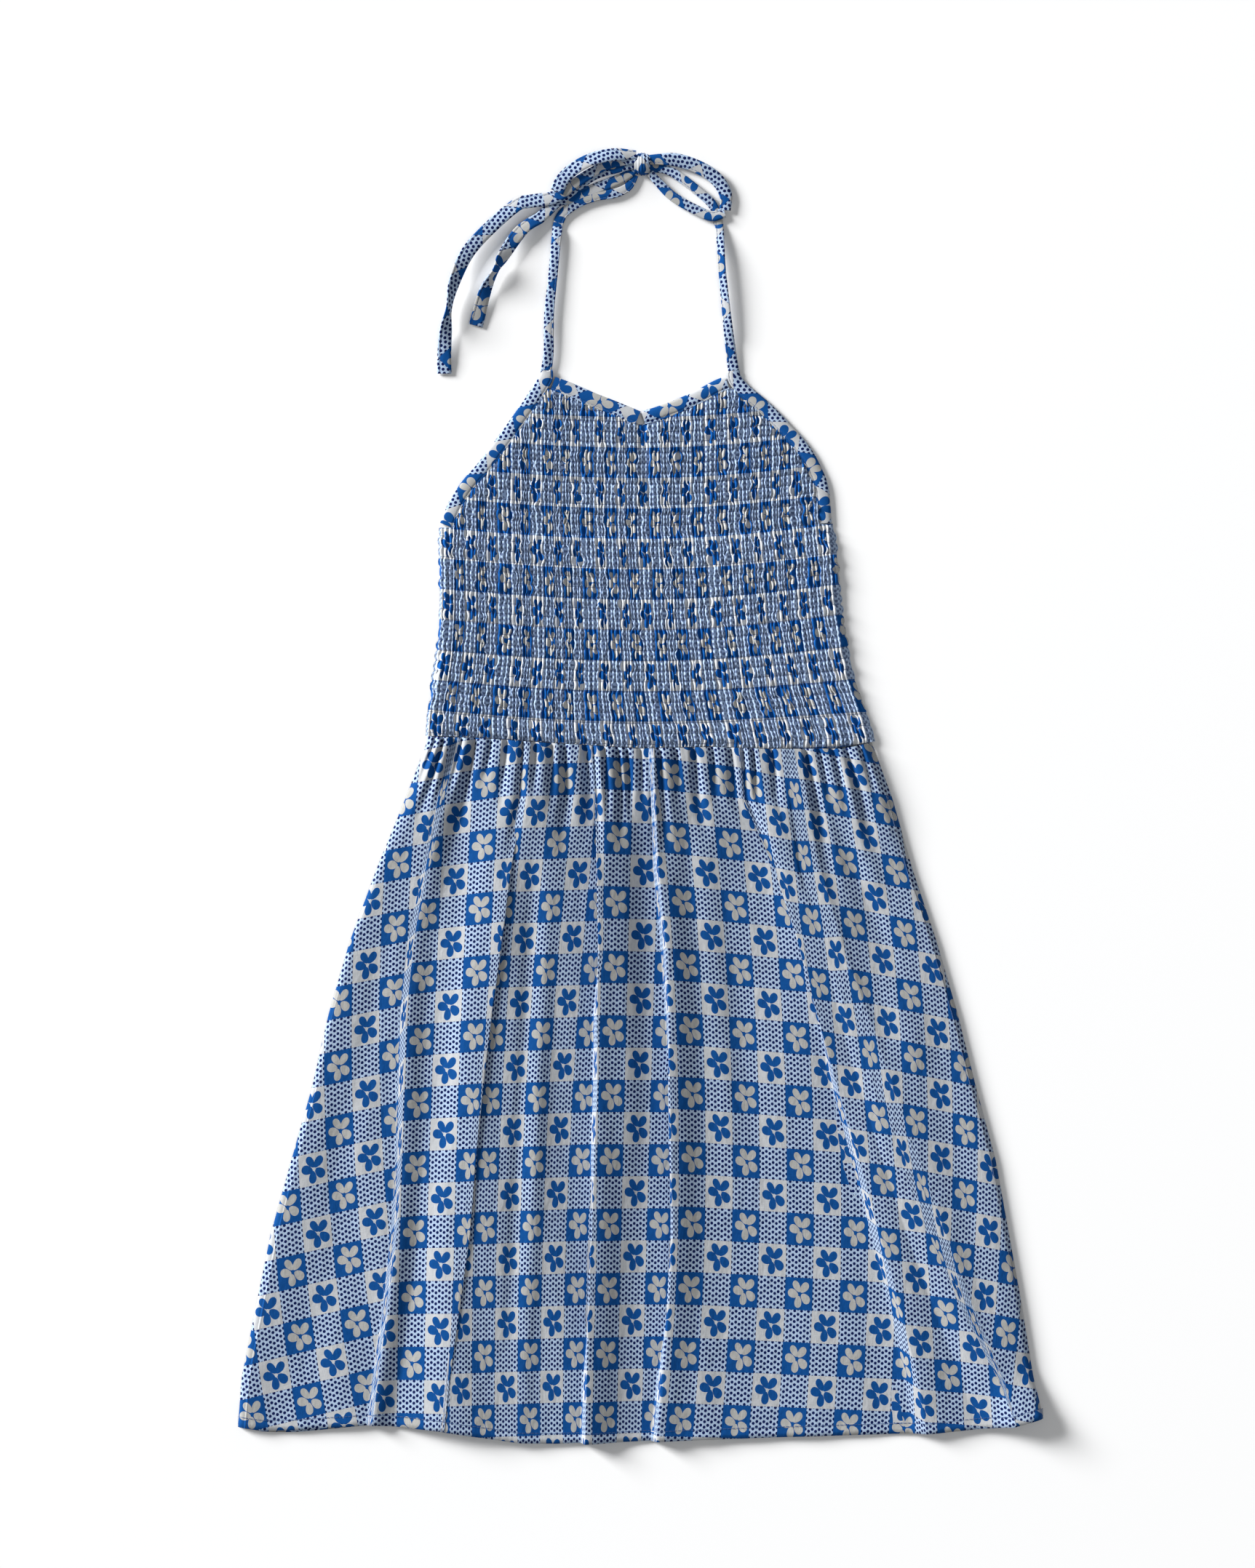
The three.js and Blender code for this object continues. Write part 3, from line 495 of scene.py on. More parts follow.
# At a fold's lip the cloth turns down, so this many more squares of print lie in its last ROLL_WIDE mm.
ROLL_SQUARES = 0.2
ROLL_WIDE = 7.0
# How far each stretch between two folds falls from its left to its right, in mm.
STRIP_FALLS = [-1.0, -2.2, 7.0, 4.0, 3.4, -0.6, 6.4]
# The front turns round to the back at both sides in a soft roll that stands off the table.
SIDE_PUFF = {"left": 1.5, "right": 2.5, "reach": 36.0, "roll": 4.5}
# The turn of cloth under a lip: how far along in mm for an over of 1, its share of the rise and of the
# print.
TURN = [(0.45, 0.22, 0.1), (-0.4, 0.42, 0.3), (-2.9, 0.5, 0.7), (-3.75, 0.7, 0.93), (-3.7, 0.9, 0.99)]
HEM_DEEP = 7.0
HEM_THICK = 0.45
HEM_GROOVE = 0.35
# The hem's edge turned under: how far back up and how far down each line of it lies.
HEM_UNDER = [(-0.15, 0.35), (0.2, 0.8), (HEM_DEEP, 1.0)]
# The right corner of the hem is turned up.
CORNER = {"x": 278.2, "y": -426, "reach": 42, "up": 7.0}


def print_lay(strip, x, y):
    """How many squares across and down the print the points (x, y) of a strip lie."""
    lay = PRINT_LAY[strip]
    off = (x - lay["x"]) / 100.0
    depth = y / LAY_LEVELS[-1]
    pitch = lay["pitch"][0] + (lay["pitch"][1] - lay["pitch"][0]) * depth
    slant = lay["slant"][0] + (lay["slant"][1] - lay["slant"][0]) * depth
    across = np.polyval(np.polyfit(LAY_LEVELS, lay["across"], 2), y) + pitch * off
    down = np.polyval(np.polyfit(LAY_LEVELS, lay["down"], 2), y) + slant * off
    return across, down


def skirt_height(x, y, share):
    """Height of the front skirt over the table away from its folds. share runs across from 0 to 1."""
    side = np.minimum(x - at_level(SIDE_LEFT, y), at_level(SIDE_RIGHT, y) - x)
    z = np.full(np.broadcast(x, y).shape, FRONT_TOP)
    waist_x = SIDE_LEFT[0] + (SIDE_RIGHT[0] - SIDE_LEFT[0]) * share
    drop = np.interp(waist_x, WAIST["x"], WAIST["y"]) - y
    puff = WAIST_PUFF["high"] * (1 - smooth(0, WAIST_PUFF["reach"], drop))
    z = z + puff * smooth(0, WAIST_PUFF["edge"], side)
    for middle, reach, deep, wide in GATHERS:
        spread = wide * (0.55 + 0.45 * np.clip(drop / 30, 0, 3))
        fade = 1 - smooth(0.1 * reach, reach, drop)
        z = z - deep * GATHER_DEEPER * fade * np.exp(-(((waist_x - middle) / spread) ** 2))
    for (x0, y0), (x1, y1), wide, up in CREASES:
        t = (y0 - y) / (y0 - y1)
        line = x0 + (x1 - x0) * t
        fade = smooth(-0.12, 0.22, t) * (1 - smooth(0.75, 1.15, t))
        z = z + up * fade * np.exp(-(((x - line) / wide) ** 2))
    ripple = 0.35 * np.sin(x * 0.075 + 1.3 * np.sin(y * 0.018)) + 0.25 * np.sin(x * 0.16 + y * 0.024)
    z = z + ripple * smooth(4, 30, side)
    return z


def fold_lift(strip, x, y):
    """How far the folds beside a strip lift its cloth."""
    own = np.zeros(x.shape)
    for number, fold in enumerate(FOLDS):
        right = fold["upper"] == "right"
        away = (x - at_level(fold["course"], y)) * (1 if right else -1)
        on_upper = strip > number if right else strip <= number
        if on_upper:
            fade = 1 - smooth(0, fold["spread"], np.clip(away, 0, None))
            own = np.maximum(own, at_level(fold["lift"], y) * fade)
    return own


def skirt_strip(strip, guides):
    """The cloth between two folds: x, y, z and the print's place at a grid of points."""
    shares = np.linspace(0, 1, STRIP_COLUMNS)
    shares = 0.5 - 0.5 * np.cos(shares * math.pi) * 0.35 + (shares - 0.5) * 0.65
    if strip == 0:
        shares = np.concatenate([EDGE_SHARES, shares[4:]])
    if strip == len(FOLDS):
        shares = np.concatenate([shares[:-4], 1 - np.array(EDGE_SHARES[::-1])])
    shares = shares[None, :]
    left, right = guides[strip], guides[strip + 1]
    waist_x = left[0] + (right[0] - left[0]) * shares
    hem_x = left[-1] + (right[-1] - left[-1]) * shares
    waist = np.interp(waist_x, WAIST["x"], WAIST["y"]) - 0.2
    hem = np.interp(hem_x, HEM["x"], HEM["y"])
    fall = np.linspace(0, 1, SKIRT_ROWS) ** 1.08
    y = waist + (hem - waist) * fall[:, None]
    start, end = 0.0, 0.0
    if strip > 0 and FOLDS[strip - 1]["upper"] == "left":
        start = -LIP * at_level(FOLDS[strip - 1]["over"], y)
    if strip < len(FOLDS) and FOLDS[strip]["upper"] == "right":
        end = LIP * at_level(FOLDS[strip]["over"], y)
    x = (at_level(left, y) + start) * (1 - shares) + (at_level(right, y) + end) * shares

    whole = (waist_x - SIDE_LEFT[0]) / (SIDE_RIGHT[0] - SIDE_LEFT[0])
    fall_here = STRIP_FALLS[strip] * smooth(-30, 40, waist - y)
    tilt = fall_here * (0.5 - shares) + np.maximum(np.abs(fall_here) / 2 - 1.5, 0)
    z = skirt_height(x, y, whole) + fold_lift(strip, x, y) + tilt
    from_left, from_right = x - at_level(SIDE_LEFT, y), at_level(SIDE_RIGHT, y) - x
    z = z + SIDE_PUFF["left"] * (1 - smooth(4, SIDE_PUFF["reach"], from_left))
    z = z + SIDE_PUFF["right"] * (1 - smooth(4, SIDE_PUFF["reach"], from_right))
    round_off = 1 - np.clip(np.minimum(from_left, from_right) / SIDE_PUFF["roll"], 0, 1)
    z = 0.5 + (z - 0.5) * np.sqrt(np.clip(1 - round_off ** 2, 0, 1))

    across, down = print_lay(strip, x, y)
    span = x[:, -1:] - x[:, :1]
    for edge, way, number in ((1 - shares, 1, strip), (shares, -1, strip - 1)):
        if 0 <= number < len(FOLDS):
            near = np.clip(1 - edge * span / ROLL_WIDE, 0, 1)
            lipped = smooth(0, 0.3, at_level(FOLDS[number]["over"], y))
            across = across + way * ROLL_SQUARES * near ** 2 * lipped
    return np.stack(np.broadcast_arrays(x, y, z, across, down), axis=-1)


def fold_turn(fold, left, right):
    """The cloth that turns under a fold's lip, between the strips on its left and its right."""
    ends = (left[:, -1], right[:, 0])
    low, high = ends if fold["upper"] == "right" else ends[::-1]
    way = 1.0 if fold["upper"] == "right" else -1.0
    over = at_level(fold["over"], high[:, 1])
    lipped = smooth(0, 0.3, over)
    turn = []
    for step, (along, rise, lay) in enumerate(TURN, 1):
        slope = step / (len(TURN) + 1)
        along = along * lipped - LIP * slope * (1 - lipped)
        rise = (rise * lipped + slope * (1 - lipped))[:, None]
        lay = (lay * lipped + slope * (1 - lipped))[:, None]
        point = low.copy()
        point[:, 0] = low[:, 0] + way * along * over
        point[:, 1:3] = low[:, 1:3] + (high[:, 1:3] - low[:, 1:3]) * rise
        point[:, 3:] = low[:, 3:] + (high[:, 3:] - low[:, 3:]) * lay
        turn.append(point)
    turn = np.stack(turn, axis=1)
    return turn if fold["upper"] == "right" else turn[:, ::-1]


def skirt_front():
    guides = [SIDE_LEFT] + [fold["course"] for fold in FOLDS] + [SIDE_RIGHT]
    strips = [skirt_strip(strip, guides) for strip in range(len(guides) - 1)]
    parts = [strips[0]]
    for fold, left, right in zip(FOLDS, strips, strips[1:]):
        parts += [fold_turn(fold, left, right), right]
    sheet = np.concatenate(parts, axis=1)

    # The hem is two layers thick, with a groove where it is stitched, and is turned under at its edge.
    hem = sheet[-1]
    rise = sheet[:, :, 1] - hem[None, :, 1]
    sheet[:, :, 2] += HEM_THICK * (1 - smooth(HEM_DEEP - 0.6, HEM_DEEP + 0.6, rise))
    sheet[:, :, 2] -= HEM_GROOVE * np.exp(-(((rise - HEM_DEEP) / 0.8) ** 2))
    under = [hem + np.array([0, back_up, -sunk, 0, 0]) for back_up, sunk in HEM_UNDER]
    sheet = np.concatenate([sheet, np.stack(under)], axis=0)
    corner = np.hypot(sheet[:, :, 0] - CORNER["x"], sheet[:, :, 1] - CORNER["y"])
    sheet[:, :, 2] += CORNER["up"] * (1 - smooth(0, CORNER["reach"], corner))
    sheet[:, :, 2] = np.maximum(sheet[:, :, 2], 0.3)
    return sheet


front_sheet = skirt_front()
front = grid_piece(
    "skirt_front_panel", front_sheet[:, :, :3], front_sheet[:, :, 3:], PANEL_COTTON, "skirt_front",
)

# Bodice, back
# The back of the bodice, shirred like the front, with a straight top edge at underarm height. It lies under
# the front and shows only from below.
SIDES = {
    "y": [38, 51, 72, 92, 120, 158, 188],
    "left": [-148.3, -147.4, -144.4, -140.8, -138.9, -138.9, -138.7],
    "right": [159.2, 154.6, 146.4, 141.6, 136.4, 133.8, 130.2],
}
PLEATS = 112
ROW_PITCH = 7.15
BACK_TOP = 174.0
# One square of the print on the gathered back, across and down.
BACK_SQUARE = (7.65, 21.0)
BODICE_TOP = 288.0
WAIST_LOWEST = 27.0
# The print on the gathered cloth of the front: how many squares lie across it, the one at its left, how far
# apart two rows of squares are and the height of the first row.
SHIRRED_LAY = {"across": 35.6, "left": -13.65, "pitch": 20.9, "top": 231.0}


def bodice_side(name, y):
    return np.interp(y, SIDES["y"], SIDES[name])


def back_bodice():
    share = np.linspace(0, 1, PLEATS * 3 + 1)[None, :]
    fall = np.linspace(0, 1, 79)[:, None]
    waist = np.interp(SIDE_LEFT[0] + (SIDE_RIGHT[0] - SIDE_LEFT[0]) * share, WAIST["x"], WAIST["y"]) + 0.3
    y = BACK_TOP + (waist - BACK_TOP) * fall
    left, right = bodice_side("left", y) + 1.0, bodice_side("right", y) - 1.0
    x = left + (right - left) * share
    pleat = np.abs(np.sin(share * PLEATS * math.pi))
    held = np.abs(np.sin(y / ROW_PITCH * math.pi))
    z = 1.25 - 1.05 * pleat * (0.55 + 0.45 * held)
    squares = np.stack([(x + 150) / BACK_SQUARE[0], -y / BACK_SQUARE[1]], axis=-1)
    points = np.stack(np.broadcast_arrays(x, y, z), axis=-1)
    return grid_piece("bodice_back_panel", points, squares, PANEL_COTTON, "back_bodice")


back_top = back_bodice()

# Bodice, front
# The front of the bodice, one panel gathered to about two fifths of its width by elastic thread in rows
# 7 mm apart. The cloth stands up in small uneven pleats between the rows and is drawn in at each row.
ARMHOLE_LEFT = [
    (-69.8, 292.9), (-70.6, 289), (-79, 275.5), (-90.8, 258.5), (-109.8, 232.5), (-122.8, 217.5),
    (-132.2, 203), (-138.7, 188),
]
ARMHOLE_RIGHT = [
    (67, 292.9), (67.8, 289), (73.8, 282), (86.8, 271), (99.2, 258.5), (114.2, 241.5), (122.8, 226.5),
    (128.2, 211.5), (130.2, 188),
]
NECKLINE_LEFT = [(-59.4, 288.3), (-46.8, 283.5), (-30.8, 276.5), (-17.8, 271.5), (-1, 264.5)]
NECKLINE_RIGHT = [(-0.6, 264.5), (9.2, 267.5), (22.8, 272.5), (36.2, 278.5), (49.2, 285.5), (56.6, 288.5)]
BINDING = 9.6
# The crease that runs down from the V of the neckline.
PUCKER = {"top": (-0.8, 264.5), "foot": (3.8, 197.5), "deep": 1.9, "wide": 3.2}
# One pleat: how far across it each point lies and how high, both as shares. Its first point is in the gap.
PLEAT_STEPS = [0.0, 0.13, 0.26, 0.5, 0.74, 0.87]
PLEAT_RISE = [0.0, 0.12, 0.78, 1.0, 0.76, 0.15]
PLEAT_DEEP = 2.9
PLEAT_WIDE = 2.43
# The pleats' height at an elastic row, as a share of their mean height.
ROW_HEIGHT = 0.66
# Each pleat's height and its sway to a side in mm change from one band between two rows to the next.
PLEAT_SWAY = 0.62
BAND_POINTS = 4


def soft_line(stations, steps):
    """Points on a smooth curve through the stations (Catmull-Rom). Further columns are carried along."""
    table = np.asarray(stations, float)
    table = np.vstack([2 * table[0] - table[1], table, 2 * table[-1] - table[-2]])
    out = []
    for i in range(1, len(table) - 2):
        a, b, c, d = table[i - 1:i + 3]
        for t in np.arange(steps) / steps:
            bend = (2 * a - 5 * b + 4 * c - d) * t * t + (3 * b - a - 3 * c + d) * t ** 3
            out.append(0.5 * (2 * b + (c - a) * t + bend))
    out.append(table[-2])
    return np.array(out)


def moved(line, distance):
    """A line moved sideways, to the left of its direction if distance is above 0."""
    way = np.gradient(line[:, :2], axis=0)
    way /= np.linalg.norm(way, axis=1)[:, None]
    return line[:, :2] + distance * np.stack([-way[:, 1], way[:, 0]], axis=-1)


def thread_rows(x, y):
    """How far an elastic row of height y lies above it at x: the rows are pulled up towards both sides."""
    rise = np.where(x < 0, 8.5, np.interp(y, [38, 110, 230], [5.0, 12.5, 12.5]))
    return rise * (1 - np.cos(np.clip(x / 150.0, -1, 1) * math.pi / 2)) - 2.0


def front_bodice():
    """The shirred panel's points with the print's place, the quads to keep and the level of each row."""
    inset = BINDING - 1.0
    arm_left = moved(soft_line(ARMHOLE_LEFT, 6), inset)
    arm_right = moved(soft_line(ARMHOLE_RIGHT, 6), -inset)
    neck = np.vstack([
        moved(soft_line(NECKLINE_LEFT, 6), -inset)[:-1], [(-0.8, 264.5 - inset * 1.07)],
        moved(soft_line(NECKLINE_RIGHT, 6), -inset)[1:],
    ])
    chance = np.random.default_rng(7)
    pleat = np.arange(PLEATS)
    steps = len(PLEAT_STEPS)
    phase = np.concatenate([np.tile(PLEAT_STEPS, PLEATS), [0.0]])
    which = np.concatenate([np.repeat(pleat, steps), [PLEATS - 1]])
    u = (which + phase) / PLEATS
    u[-1] = 1.0
    # Pleats are not all as wide as each other.
    bend = np.cumsum(np.concatenate([[0], chance.uniform(0.6, 1.45, PLEATS)]))
    bend /= bend[-1]
    u = np.interp(u * PLEATS, np.arange(PLEATS + 1), bend)[None, :]

    bands = 36
    level = np.linspace(0, bands, bands * BAND_POINTS + 1)[:, None]
    y = BODICE_TOP - level * ROW_PITCH
    y = y[y[:, 0] > WAIST_LOWEST]
    level = level[: len(y)]
    flat_y = y
    left, right = bodice_side("left", y), bodice_side("right", y)
    x = left + (right - left) * u
    y = y + thread_rows(x, y)
    band = np.floor(level[:, 0]).astype(int)
    part = level[:, 0] - band

    # Each pleat puffs out to another height and sways another way in each band between two rows.
    tall = chance.uniform(0.78, 1.22, (bands + 2, PLEATS + 1))[band][:, which]
    sway = chance.normal(0, PLEAT_SWAY, (bands + 2, PLEATS + 1))[band][:, which]
    puff = np.sin(part * math.pi)[:, None] ** 0.7
    crest = np.concatenate([np.tile(PLEAT_RISE, PLEATS), [0.0]])[None, :]
    height = crest * (ROW_HEIGHT + (tall - ROW_HEIGHT) * puff)
    x = x + sway * puff + 0.9 * puff * (2 * u - 1) ** 31

    top = np.minimum.reduce([
        np.interp(x, arm_left[::-1, 0], arm_left[::-1, 1], left=arm_left[-1, 1]),
        np.interp(x, arm_right[:, 0], arm_right[:, 1], right=arm_right[-1, 1]),
        np.interp(x, neck[:, 0], neck[:, 1]),
    ])
    waist = np.interp(x, WAIST["x"], WAIST["y"]) + 0.2
    below_top = top - y
    edge_fade = smooth(-1.0, 5.0, below_top) * smooth(-1.0, 4.0, y - waist)
    rest = 1.5 * smooth(BACK_TOP + 8.3, BACK_TOP + 0.3, y)
    side = np.minimum(x - bodice_side("left", y), bodice_side("right", y) - x)
    rolled = np.sqrt(np.clip(1 - (1 - np.clip(side / 3.0, 0, 1)) ** 2, 0, 1))
    z = 0.9 + PLEAT_DEEP * height * (0.35 + 0.65 * edge_fade)
    pucker_x = np.interp(y, [PUCKER["foot"][1], PUCKER["top"][1]], [PUCKER["foot"][0], PUCKER["top"][0]])
    pucker = smooth(PUCKER["foot"][1] - 12, PUCKER["foot"][1] + 22, y)
    z = z - PUCKER["deep"] * pucker * np.exp(-(((x - pucker_x) / PUCKER["wide"]) ** 2))
    z = (0.4 + np.maximum(z, 0.1) * rolled) + rest * (0.3 + 0.7 * rolled)
    clipped = (y > top) | (y < waist)
    y = np.clip(y, waist, top)

    # The print goes by the cloth's own length: seven squares of cloth are drawn into the width of three.
    one = np.append(PLEAT_STEPS, 1.0) * PLEAT_WIDE
    walk = np.hypot(np.diff(one), np.diff(np.append(PLEAT_RISE, 0.0)) * PLEAT_DEEP)
    arc = np.concatenate([[0], np.cumsum(walk)]) / walk.sum()
    share = np.concatenate([np.tile(arc[:-1], PLEATS), [1.0]])
    across = ((which + share) * SHIRRED_LAY["across"] / PLEATS + SHIRRED_LAY["left"])[None, :] + 0 * y
    down = (SHIRRED_LAY["top"] - flat_y) / SHIRRED_LAY["pitch"] + 0 * x
    keep = ~(clipped[1:, :-1] & clipped[1:, 1:] & clipped[:-1, 1:] & clipped[:-1, :-1])
    return np.stack([x, y, z, across, down], axis=-1), keep, level[:, 0]


bodice_sheet, bodice_keep, bodice_level = front_bodice()
bodice = grid_piece(
    "bodice_front_panel", bodice_sheet[:, :, :3], bodice_sheet[:, :, 3:], SHIRRED_COTTON_PAINTED_LIGHTER, "front_bodice",
    keep=bodice_keep,
)

# Elastic rows
# Fine blue thread that shows on the right side as a thin broken line along each elastic row, over the
# pleats.
THREAD = bpy.data.materials.new("thread")
THREAD.use_nodes = True
thread_shader = THREAD.node_tree.nodes["Principled BSDF"]
thread_shader.inputs["Base Color"].default_value = (0.03, 0.07, 0.2, 1)
thread_shader.inputs["Roughness"].default_value = 0.7
ELASTIC_HALF = 0.14
ELASTIC_LIFT = 0.12


def thread_piece(name, points, faces):
    """One piece of thread from its points in mm and its faces."""
    mesh = bpy.data.meshes.new(name)
    mesh.from_pydata([[value * MM for value in point] for point in points], [], faces)
    mesh.materials.append(THREAD)
    piece = bpy.data.objects.new(name, mesh)
    link(piece)
    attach(piece, "root")
    return piece


def elastic_rows():
    points, faces = [], []
    rows = [i for i, value in enumerate(bodice_level) if abs(value - round(value)) < 1e-6]
    for i in rows[1:]:
        line = bodice_sheet[i]
        shown = bodice_keep[min(i, len(bodice_keep) - 1)] & bodice_keep[i - 1]
        for c in np.flatnonzero(shown):
            n = len(points)
            for x, y, z in line[c:c + 2, :3]:
                points += [(x, y + half, z + ELASTIC_LIFT) for half in (-ELASTIC_HALF, ELASTIC_HALF)]
            faces.append((n, n + 2, n + 3, n + 1))
    return thread_piece("elastic_rows", points, faces)


elastic = elastic_rows()

# Bindings
# Bias strips of the same cotton folded over the raw edges of the neck and the armholes and stitched down
# close to their inner edge. The two neckline strips meet in a V at the centre front.
BIAS = math.radians(45)
# Which point of a binding's section, and of a tie's, lies in the groove of its stitching.
BINDING_SEAM = 9
TIE_SEAM = 7
UP = np.array([0, 0, 1.0])


def bias_squares(along, across, start):
    """The print on a strip cut on the bias. start is the square that the strip begins in."""
    s = (along * math.cos(BIAS) + across * math.sin(BIAS)) / CELL[0] + start[0]
    t = (across * math.cos(BIAS) - along * math.sin(BIAS)) / CELL[1] + start[1]
    return s, t


def ways(line):
    """The level direction of a line at each of its points, and the one square to it on the left."""
    way = np.gradient(line[:, :3], axis=0)
    way[:, 2] = 0
    way /= np.linalg.norm(way, axis=1)[:, None]
    return way, np.stack([-way[:, 1], way[:, 0], np.zeros(len(way))], axis=-1)


def beside(line, offsets):
    """A line moved by its own (sideways, up) pair at each point."""
    return line[:, :3] + ways(line)[1] * offsets[:, :1] + UP * offsets[:, 1:2]


def band_piece(name, line, section, start):
    """A strip carried along a line. section(k, share) gives its outline as (sideways, up) pairs in mm."""
    way, side = ways(line)
    length = np.concatenate([[0], np.cumsum(np.linalg.norm(np.diff(line[:, :3], axis=0), axis=1))])
    points, squares = [], []
    for k in range(len(line)):
        outline = section(k, k / (len(line) - 1))
        ring = line[k, :3] + side[k] * outline[:, :1] + UP * outline[:, 1:2]
        walk = np.concatenate([[0], np.cumsum(np.linalg.norm(np.diff(outline, axis=0), axis=1))])
        points.append(ring)
        squares.append(np.stack(bias_squares(length[k], walk, start), axis=-1))
    points, squares = np.array(points), np.array(squares)
    middle = points.mean(axis=1, keepdims=True)
    spoke = np.cross(points[:, :-1] - middle, points[:, 1:] - middle).sum(axis=1)
    if (spoke * way).sum() > 0:
        points, squares = points[:, ::-1], squares[:, ::-1]
    return grid_piece(name + "_cloth", points, squares, BIAS_COTTON_PAINTED_LIGHTER, name)


def edge_binding(name, stations, inward, start, start_width=1.0):
    """A binding and the line of its stitching. start_width is its width at its first end, as a share."""
    line = soft_line([(x, y, 0.0) for x, y in stations], 6)
    chance = np.random.default_rng(len(name))
    wobble = np.convolve(chance.normal(0, 1, len(line) + 8), np.ones(5) / 5, "same")[4:-4]

    def section(k, share):
        width = BINDING * min(1.0, start_width + 1.5 * share)
        inner = width + 0.35 * wobble[k]
        puff = 0.15 * wobble[k]
        outline = np.array([
            (inner - 0.3, 0.3), (0.6, 0.2), (0.1, 0.7), (-0.05, 1.4), (0.5, 2.2), (1.8, 2.75 + puff),
            (width * 0.45, 3.0 + puff), (width * 0.72, 2.95 + puff), (width - 1.8, 2.75),
            (width - 1.3, 2.35), (width - 0.8, 2.7), (inner, 2.5), (inner + 0.05, 1.6), (inner - 0.3, 0.3),
        ])
        outline[:, 0] *= inward
        return outline

    seam = np.array([section(k, k / (len(line) - 1))[BINDING_SEAM] for k in range(len(line))])
    return band_piece(name, line, section, start), beside(line, seam)


bindings = {
    "armhole_binding_left": edge_binding("armhole_binding_left", ARMHOLE_LEFT, 1, (0.1, 0.35), 0.8),
    "armhole_binding_right": edge_binding("armhole_binding_right", ARMHOLE_RIGHT, -1, (0.4, 0.1), 0.8),
    "neckline_binding_left": edge_binding("neckline_binding_left", NECKLINE_LEFT, -1, (0.3, 0.6)),
    "neckline_binding_right": edge_binding("neckline_binding_right", NECKLINE_RIGHT, -1, (0.9, 0.2)),
}

